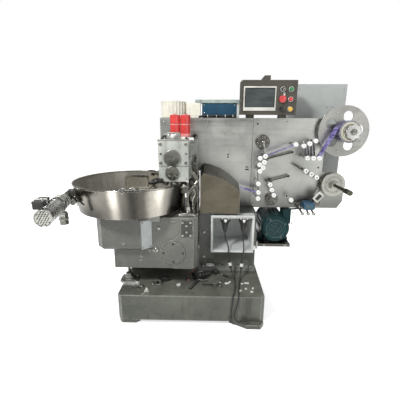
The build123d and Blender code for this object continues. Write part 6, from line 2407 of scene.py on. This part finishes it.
@dataclass
class MotorTrim(SubAssembly):
    """Cowl rings, air holes, cover screws and shaft cover of the main motor."""

    axis: Pair = (0.567, 0.487)
    face: float = 0.022

    def build(self) -> None:
        """Adds the trim."""
        add = self.bench.add
        x, z = self.axis
        # The rings take the lighter teal as a painted highlight.
        rings = [
            hoop([
                (r - w, 0.0), (r + w, 0.0), (r + w * 0.7, 0.0022), (r - w * 0.7, 0.0022)
            ], front(x, self.face + d, z), 72)
            for r, w, d in (
                (0.0655, 0.0016, 0.0003), (0.058, 0.0013, 0.0052), (0.042, 0.0013, 0.0052),
                (0.026, 0.0013, 0.0052), (0.0125, 0.0013, 0.0052)
            )
        ]
        add("cowl_rings", join(*rings), Slot.MOTOR_TEAL, finish=TEAL_EDGE)
        # Dark air holes: painted shade of the cowl's openings.
        holes = []
        for r, n, size in ((0.034, 6, 0.0105), (0.05, 14, 0.006), (0.019, 6, 0.005)):
            for k in range(n):
                a = 2 * math.pi * (k + 0.3) / n
                spot = Place((
                    x + r * math.cos(a), self.face + 0.005, z + r * math.sin(a)
                ), (math.cos(a), 0, math.sin(a)), (-math.sin(a), 0, math.cos(a)))
                holes.append(slab(
                    Place(spot.origin, (-math.sin(a), 0, math.cos(a)), (-math.cos(a), 0, -math.sin(a))),
                    size, size * 1.5, size * 0.45, -0.0004, 0.0007, 4
                ))
        add("cowl_holes", join(*holes), Slot.BLACK_RUBBER)
        screws = [
            bolt(ring_spot(x, self.face, z, 0.074, a), 0.0075, 0.004) for a in (0.5, 2.1, 3.7, 5.3)
        ]
        add("cowl_screws", join(*screws), Slot.DARK_STEEL)
        box = [bolt(right(0.684, y, zz), 0.009, 0.005) for y in (0.066, 0.146) for zz in (0.515, 0.592)]
        add("motor_box_screws", join(*box), Slot.MACHINED_STEEL)
        front_bolts = [bolt(front(x + s * 0.075, 0.026, 0.365), 0.013, 0.008) for s in (-1, 1)]
        add("motor_feet_bolts", join(*front_bolts), Slot.MACHINED_STEEL)
        cap = revolve(mm(1, 0, 30, 0, 30, 6, 22, 10, 22, 16, 1, 17), rear(x, 0.322, z), 40)
        add("motor_shaft_cover", cap, Slot.MOTOR_TEAL, finish=TEAL_EDGE)


@dataclass
class OperatorPanel(SubAssembly):
    """Button caps and rings, screen trim, screws and vents of the operator panel."""

    face: float = 0.072
    columns: Pair = (0.565, 0.617)
    rows: Point = (1.403, 1.343, 1.283)
    head: float = 0.0126

    def cap(self, x: float, z: float, radius: float) -> Form:
        """Button cap: straight sides, a rounded edge and a slightly dished top."""
        profile = [
            (radius, 0.0004), (radius, 0.0105), (radius * 0.93, 0.0128), (radius * 0.75, 0.0136),
            (radius * 0.4, 0.0132), (0.001, 0.0129)
        ]
        return revolve(profile, front(x, self.face, z), 40)

    def build(self) -> None:
        """Adds the panel's buttons and trim."""
        add = self.bench.add
        left_x, right_x = self.columns
        high, middle, low = self.rows
        r = self.head
        add("button_green", self.cap(right_x, high, r), Slot.BUTTON_PLASTIC, finish=GREEN_CAP)
        add("button_red", self.cap(right_x, middle, r), Slot.BUTTON_PLASTIC, finish=RED_CAP)
        add("button_yellow", self.cap(right_x, low, r * 1.15), Slot.BUTTON_PLASTIC, finish=YELLOW_CAP)
        stop = revolve(mm(
            13.5, 0.4, 13.5, 5, 22.5, 7.5, 23.2, 10.5, 21, 14.5, 15, 17, 6, 18.2, 1, 18.4
        ), front(left_x, self.face, middle), 48)
        add("button_stop", stop, Slot.BUTTON_PLASTIC, finish=RED_CAP)
        selector = join(self.cap(left_x, high, r), slab(
            Place((left_x, self.face - 0.0125, high), (0.86, 0, -0.5), (0.5, 0, 0.86)), 0.0075, 0.027,
            0.003, 0.0, 0.009
        ))
        add("button_selector", selector, Slot.BUTTON_PLASTIC)
        add("selector_mark", slab(
            Place((left_x, self.face - 0.0212, high), (0.86, 0, -0.5), (0.5, 0, 0.86)), 0.0022, 0.02,
            0.001, 0.0, 0.0009, 3
        ), Slot.WHITE_PLASTIC)
        turn = join(self.cap(left_x, low, r * 1.1), slab(
            front(left_x, self.face - 0.0125, low), 0.009, 0.028, 0.004, 0.0, 0.01
        ))
        add("button_turn", turn, Slot.BUTTON_PLASTIC)
        rings = []
        for x, z in ((left_x, high), (right_x, high), (right_x, middle), (right_x, low)):
            rings.append(hoop(mm(13.2, 0, 16.6, 0, 16, 3, 13.8, 3.4), front(x, self.face, z), 40))
        add("button_rings", join(*rings), Slot.WHITE_PLASTIC, finish=PALE_ZINC)
        tag = slab(front(0.576, 0.076, 1.374), 0.012, 0.02, 0.002, -0.0005, 0.0012)
        add("button_tag", tag, Slot.WHITE_PLASTIC)
        bezel = slab(front(0.421, 0.072, 1.2825), 0.206, 0.021, 0.003, -0.0005, 0.0015)
        add("bezel_band", bezel, Slot.BEZEL_PLASTIC, bevel=0.0008)
        lip = []
        for width, height, px, pz in (
            (0.19, 0.0028, 0.421, 1.4102), (0.19, 0.0028, 0.421, 1.293), (0.0028, 0.12, 0.3272, 1.3515),
            (0.0028, 0.12, 0.5148, 1.3515)
        ):
            lip.append(slab(front(px, 0.072, pz), width, height, 0.001, -0.0005, 0.0012, 2))
        add("screen_gasket", join(*lip), Slot.BLACK_RUBBER)
        screws = [
            cap_screw(front(px, 0.076, pz), 0.0035, 0.002) for px in (0.3115, 0.6485)
            for pz in (1.258, 1.45)
        ]
        add("panel_screws", join(*screws), Slot.DARK_STEEL)
        edge = [
            slab(front(0.48, 0.076, z), 0.354, 0.005, 0.002, -0.001, 0.0022, 3)
            for z in (1.2515, 1.4555)
        ]
        edge += [
            slab(front(px, 0.076, 1.3535), 0.005, 0.21, 0.002, -0.001, 0.0022, 3)
            for px in (0.3065, 0.6535)
        ]
        add("panel_edge", join(*edge), Slot.PANEL_PAINT, bevel=0.0008)
        # Dark vent strips: painted shade of the panel's openings.
        vents = [
            slab(rear(0.48, 0.176, 1.32 + k * 0.012), 0.07, 0.004, 0.0018, -0.0004, 0.0006, 3)
            for k in range(7)
        ]
        side = [
            slab(right(0.657, 0.126, 1.33 + k * 0.012), 0.05, 0.004, 0.0018, -0.0004, 0.0006, 3)
            for k in range(5)
        ]
        add("panel_vents", join(*vents, *side), Slot.BLACK_RUBBER)
        back = [
            cap_screw(rear(px, 0.176, pz), 0.0045, 0.003) for px in (0.32, 0.64) for pz in (1.265, 1.44)
        ]
        add("panel_back_screws", join(*back), Slot.MACHINED_STEEL)


@dataclass
class TopBoxes(SubAssembly):
    """Rings of the drum's lid, harness, post and screws of the supply box, and lines of the case."""

    plate_top: float = 1.228

    def build(self) -> None:
        """Adds the trim."""
        add = self.bench.add
        t = self.plate_top
        post = join(block(
            top(0.298, 0.196, t - 0.002), 0.016, 0.016, 0.09, 0.003
        ), block(top(0.298, 0.196, t + 0.088), 0.02, 0.02, 0.008, 0.003))
        add("supply_post", post, Slot.WHITE_PLASTIC, bevel=0.001)
        path = [
            (0.03, 0.176, t + 0.006), (0.07, 0.179, t + 0.014), (0.11, 0.177, t + 0.01),
            (0.15, 0.178, t + 0.016), (0.2, 0.177, t + 0.01), (0.25, 0.179, t + 0.015),
            (0.285, 0.178, t + 0.008)
        ]
        ties = [
            hoop(
                mm(7.2, -2, 9.2, -2, 9.2, 2, 7.2, 2),
                Place((x, 0.178, t + 0.012), (0, 1, 0), (0, 0, 1)), 20
            )
            for x in (0.09, 0.15, 0.21, 0.262)
        ]
        add("supply_harness", tube(path, 0.0075, 12, 6), Slot.BLACK_RUBBER)
        add("harness_ties", join(*ties), Slot.WHITE_PLASTIC)
        screws = [
            cap_screw(front(x, 0.188, z), 0.004, 0.003) for x in (0.066, 0.274)
            for z in (t + 0.03, t + 0.085)
        ]
        add("supply_screws", join(*screws), Slot.MACHINED_STEEL)
        lid = revolve(
            mm(81.5, -1, 84.5, 0, 84.5, 3, 80, 5, 30, 6, 28, 12, 2, 13), top(-0.146, 0.236, t + 0.104),
            72
        )
        add("drum_lid_rings", lid, Slot.CREAM_PLASTIC)
        seam = hoop(mm(86.5, 0, 87.8, 1, 87.8, 3, 86.5, 4), top(-0.146, 0.236, t + 0.003), 96)
        add("drum_bands", seam, Slot.CREAM_PLASTIC)
        case = [
            slab(front(x, 0.18, t + 0.05), 0.003, 0.08, 0.001, -0.0005, 0.0008, 2)
            for x in (-0.035, -0.015, 0.008)
        ]
        add("case_lines", join(*case), Slot.CREAM_PLASTIC)


@dataclass
class RearSide(SubAssembly):
    """Louvres, hinges, lock, vents, plugs, bolts and screws on the machine's back and sides."""

    cabinet: Pair = (0.708, 1.059)

    def build(self) -> None:
        """Adds the trim."""
        add = self.bench.add
        back = side_of("rear_housing", 1, True)
        louvres = []
        for k in range(9):
            fin = np.array(mm(0, 0, 11, 0, 0, 13))
            louvres.append(prism(
                fin, Place((0.3, back, 0.78 + k * 0.026), (0, 1, 0), (0, 0, 1)), -0.1, 0.1
            ))
        add("housing_louvres", join(*louvres), Slot.CABINET_PAINT, bevel=0.0008)
        screws = [
            cap_screw(rear(x, back, z), 0.0055, 0.004) for x in np.linspace(0.09, 0.64, 4)
            for z in (0.68, 1.17)
        ]
        add("housing_screws", join(*screws), Slot.MACHINED_STEEL)
        x0, x1 = self.cabinet
        rear_face = side_of("control_cabinet", 1, True)
        hinges = [
            revolve(mm(1, -30, 6.5, -30, 6.5, 30, 1, 31), top(x0 + 0.021, rear_face - 0.014, z), 20)
            for z in (0.78, 1.32)
        ]
        add("cabinet_hinges", join(*hinges), Slot.DARK_STEEL)
        lock = revolve(
            mm(1, 0, 9, 0, 11, 3, 9, 6, 4, 6, 4, 4, 1, 4), rear(x1 - 0.055, rear_face - 0.0145, 0.93),
            28
        )
        add("cabinet_lock", lock, Slot.MACHINED_STEEL)
        # Dark vent strips: painted shade of the cabinet's openings.
        slots = [
            slab(rear(0.86, rear_face, low + k * 0.016), 0.11, 0.006, 0.0028, -0.0005, 0.0007, 3)
            for low, count in ((0.74, 8), (1.33, 5))
            for k in range(count)
        ]
        add("cabinet_vents", join(*slots), Slot.BLACK_RUBBER)
        front_screws = [
            cap_screw(front(x, side_of("control_cabinet", 1, False), z), 0.0045, 0.003)
            for x in (x0 + 0.02, x1 - 0.02) for z in (1.425, 1.25)
        ]
        add("cabinet_screws", join(*front_screws), Slot.MACHINED_STEEL)
        dots = [
            revolve(
                mm(1, 0, 4, 0, 3, 2, 1, 2), front(x, side_of("control_cabinet", 1, False), 1.305), 12
            )
            for x in (0.93, 0.968)
        ]
        add("cabinet_plugs", join(*dots), Slot.DARK_STEEL)
        column = [
            bolt(rear(x, side_of("column", 1, True), z), 0.018, 0.01) for x in (0.08, 0.2, 0.34)
            for z in (0.3, 0.55)
        ]
        add("column_back_bolts", join(*column), Slot.MACHINED_STEEL)
        plinth = [
            revolve(
                mm(1, -0.5, 12, 0, 12, 4, 7, 6, 1, 6), rear(x, side_of("base_plinth", 1, True), 0.12),
                24
            )
            for x in (-0.3, -0.1, 0.1, 0.3)
        ]
        add("plinth_plugs", join(*plinth), Slot.BASE_PAINT)


@dataclass
class Studio:
    """Pale floor, soft lamps, white surroundings and the camera."""

    floor_reach: float = 14.0
    floor_colour: Colour = (0.72, 0.72, 0.71)
    focal_pixels: float = 303.7
    image_pixels: float = 400.0
    sensor: float = 36.0
    eye: Point = (0.092, -1.970, 1.206)
    turns: tuple[float, float, float] = (0.024, -0.254, -0.004)

    def floor(self) -> None:
        """Adds a wide disc, (r cos t, r sin t, 0) on a grid of r and t, that looks white to the camera."""
        t = np.linspace(0, 2 * np.pi, 64, endpoint=False)
        r = np.array([0.4, 2.0, 6.0, self.floor_reach])
        points = np.stack([
            np.outer(r, np.cos(t)), np.outer(r, np.sin(t)), np.zeros((len(r), len(t)))
        ], axis=-1)
        faces = quads(len(r), len(t), loop_columns=True).tolist() + [list(range(len(t)))]
        material, tree, shader = new_material("studio_floor")
        path = tree.add("ShaderNodeLightPath")
        seen = tree.calc("MAXIMUM", path.outputs["Is Camera Ray"], tree.calc(
            "MAXIMUM", path.outputs["Is Glossy Ray"], path.outputs["Is Transmission Ray"]
        ))
        grain = tree.noise(tree.place_of(), 30.0)
        tree.feed(shader.inputs["Base Color"], tree.mix(
            tree.calc("MULTIPLY", grain, 0.04), self.floor_colour, (0.6, 0.6, 0.6)
        ))
        shader.inputs["Roughness"].default_value = 0.8
        shader.inputs["Specular IOR Level"].default_value = 0.1
        shader.inputs["Emission Color"].default_value = (1, 1, 1, 1)
        away = tree.vector("LENGTH", tree.place_of())
        tree.feed(shader.inputs["Emission Strength"], tree.calc(
            "MULTIPLY", seen, tree.remap(away, 0.7, 1.7, 0.62, 1.0)
        ))
        floor = mesh_object("studio_floor", Form(points.reshape(-1, 3), faces), material)

    def surroundings(self) -> None:
        """Lights the scene evenly: brighter overhead, and plain white where the camera sees it."""
        world = bpy.data.worlds.new("studio_world")
        world.use_nodes = True
        bpy.context.scene.world = world
        tree = Tree(world.node_tree)
        path = tree.add("ShaderNodeLightPath")
        direction = tree.add("ShaderNodeTexCoord").outputs["Generated"]
        glow = tree.remap(tree.part(direction, 2), -0.2, 0.9, 0.1, 0.66)
        sky = tree.add("ShaderNodeBackground", {"Color": (0.97, 0.985, 1.0, 1.0), "Strength": glow})
        white = tree.add("ShaderNodeBackground", {"Color": (1, 1, 1, 1), "Strength": 1.0})
        seen = path.outputs["Is Camera Ray"]
        mixed = tree.add("ShaderNodeMixShader", {0: seen, 1: sky.outputs[0], 2: white.outputs[0]})
        tree.feed(tree.add("ShaderNodeOutputWorld").inputs["Surface"], mixed.outputs[0])

    def lamp(self, name: str, place: Point, aim: Point, size: float, power: float) -> None:
        """Adds a square soft lamp that looks from a place to an aim, both on the datum.

        Args:
            name: The lamp's name.
            place: Where it stands.
            aim: Where it looks.
            size: Length of its side.
            power: Its power in watts.
        """
        light = bpy.data.lights.new(name, "AREA")
        light.shape = "SQUARE"
        light.size = size
        light.energy = power
        obj = bpy.data.objects.new(name, light)
        bpy.context.scene.collection.objects.link(obj)
        obj.location = tuple(np.array(place) + BASE)
        look = Vector(np.array(aim) - np.array(place))
        obj.rotation_euler = look.to_track_quat("-Z", "Y").to_euler()

    def camera(self) -> None:
        """Sets the camera by its turns, Rz(a) Rx(b) Ry(c): their columns are right, forward and up."""
        a, b, c = self.turns
        rz = np.array([[math.cos(a), -math.sin(a), 0], [math.sin(a), math.cos(a), 0], [0, 0, 1]])
        rx = np.array([[1, 0, 0], [0, math.cos(b), -math.sin(b)], [0, math.sin(b), math.cos(b)]])
        ry = np.array([[math.cos(c), 0, math.sin(c)], [0, 1, 0], [-math.sin(c), 0, math.cos(c)]])
        axes = rz @ rx @ ry
        data = bpy.data.cameras.new("camera")
        data.sensor_width = self.sensor
        data.lens = self.focal_pixels / self.image_pixels * self.sensor
        obj = bpy.data.objects.new("camera", data)
        bpy.context.scene.collection.objects.link(obj)
        matrix = np.eye(4)
        matrix[:3, 0], matrix[:3, 1], matrix[:3, 2] = axes[:, 0], axes[:, 2], -axes[:, 1]
        matrix[:3, 3] = np.array(self.eye) + BASE
        obj.matrix_world = Matrix(matrix.tolist())
        bpy.context.scene.camera = obj

    def build(self) -> None:
        """Adds the floor, the surroundings, the lamps and the camera."""
        self.floor()
        self.surroundings()
        self.lamp("key", (-1.5, -2.3, 3.3), (0.2, 0.0, 0.6), 0.55, 125.0)
        self.lamp("fill", (2.4, -2.8, 1.9), (0.2, 0.0, 0.6), 2.4, 30.0)
        self.lamp("back", (0.4, 3.0, 3.2), (0.2, 0.0, 0.6), 2.6, 45.0)
        self.camera()
        view = bpy.context.scene.view_settings
        view.view_transform = "Standard"
        log.info("studio set")


def main() -> None:
    """Builds the studio, dresses the frame and adds every sub-assembly in order."""
    logging.basicConfig(level=logging.INFO, format="%(name)s %(message)s")
    Studio().build()
    bench = Bench()
    bench.dress_frame()
    Leads().build(bench)
    for group in (
        PlinthFittings, GearboxTrim, RodStand, PanTrim, BrushDrive, HeadTrim, PlateTrim, FilmPath,
        ReelTrim, SocketTrim, MotorTrim, OperatorPanel, TopBoxes, RearSide
    ):
        group(bench).build()
        log.info("%s built", group.__name__)
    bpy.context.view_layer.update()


if __name__ == "__main__":
    main()
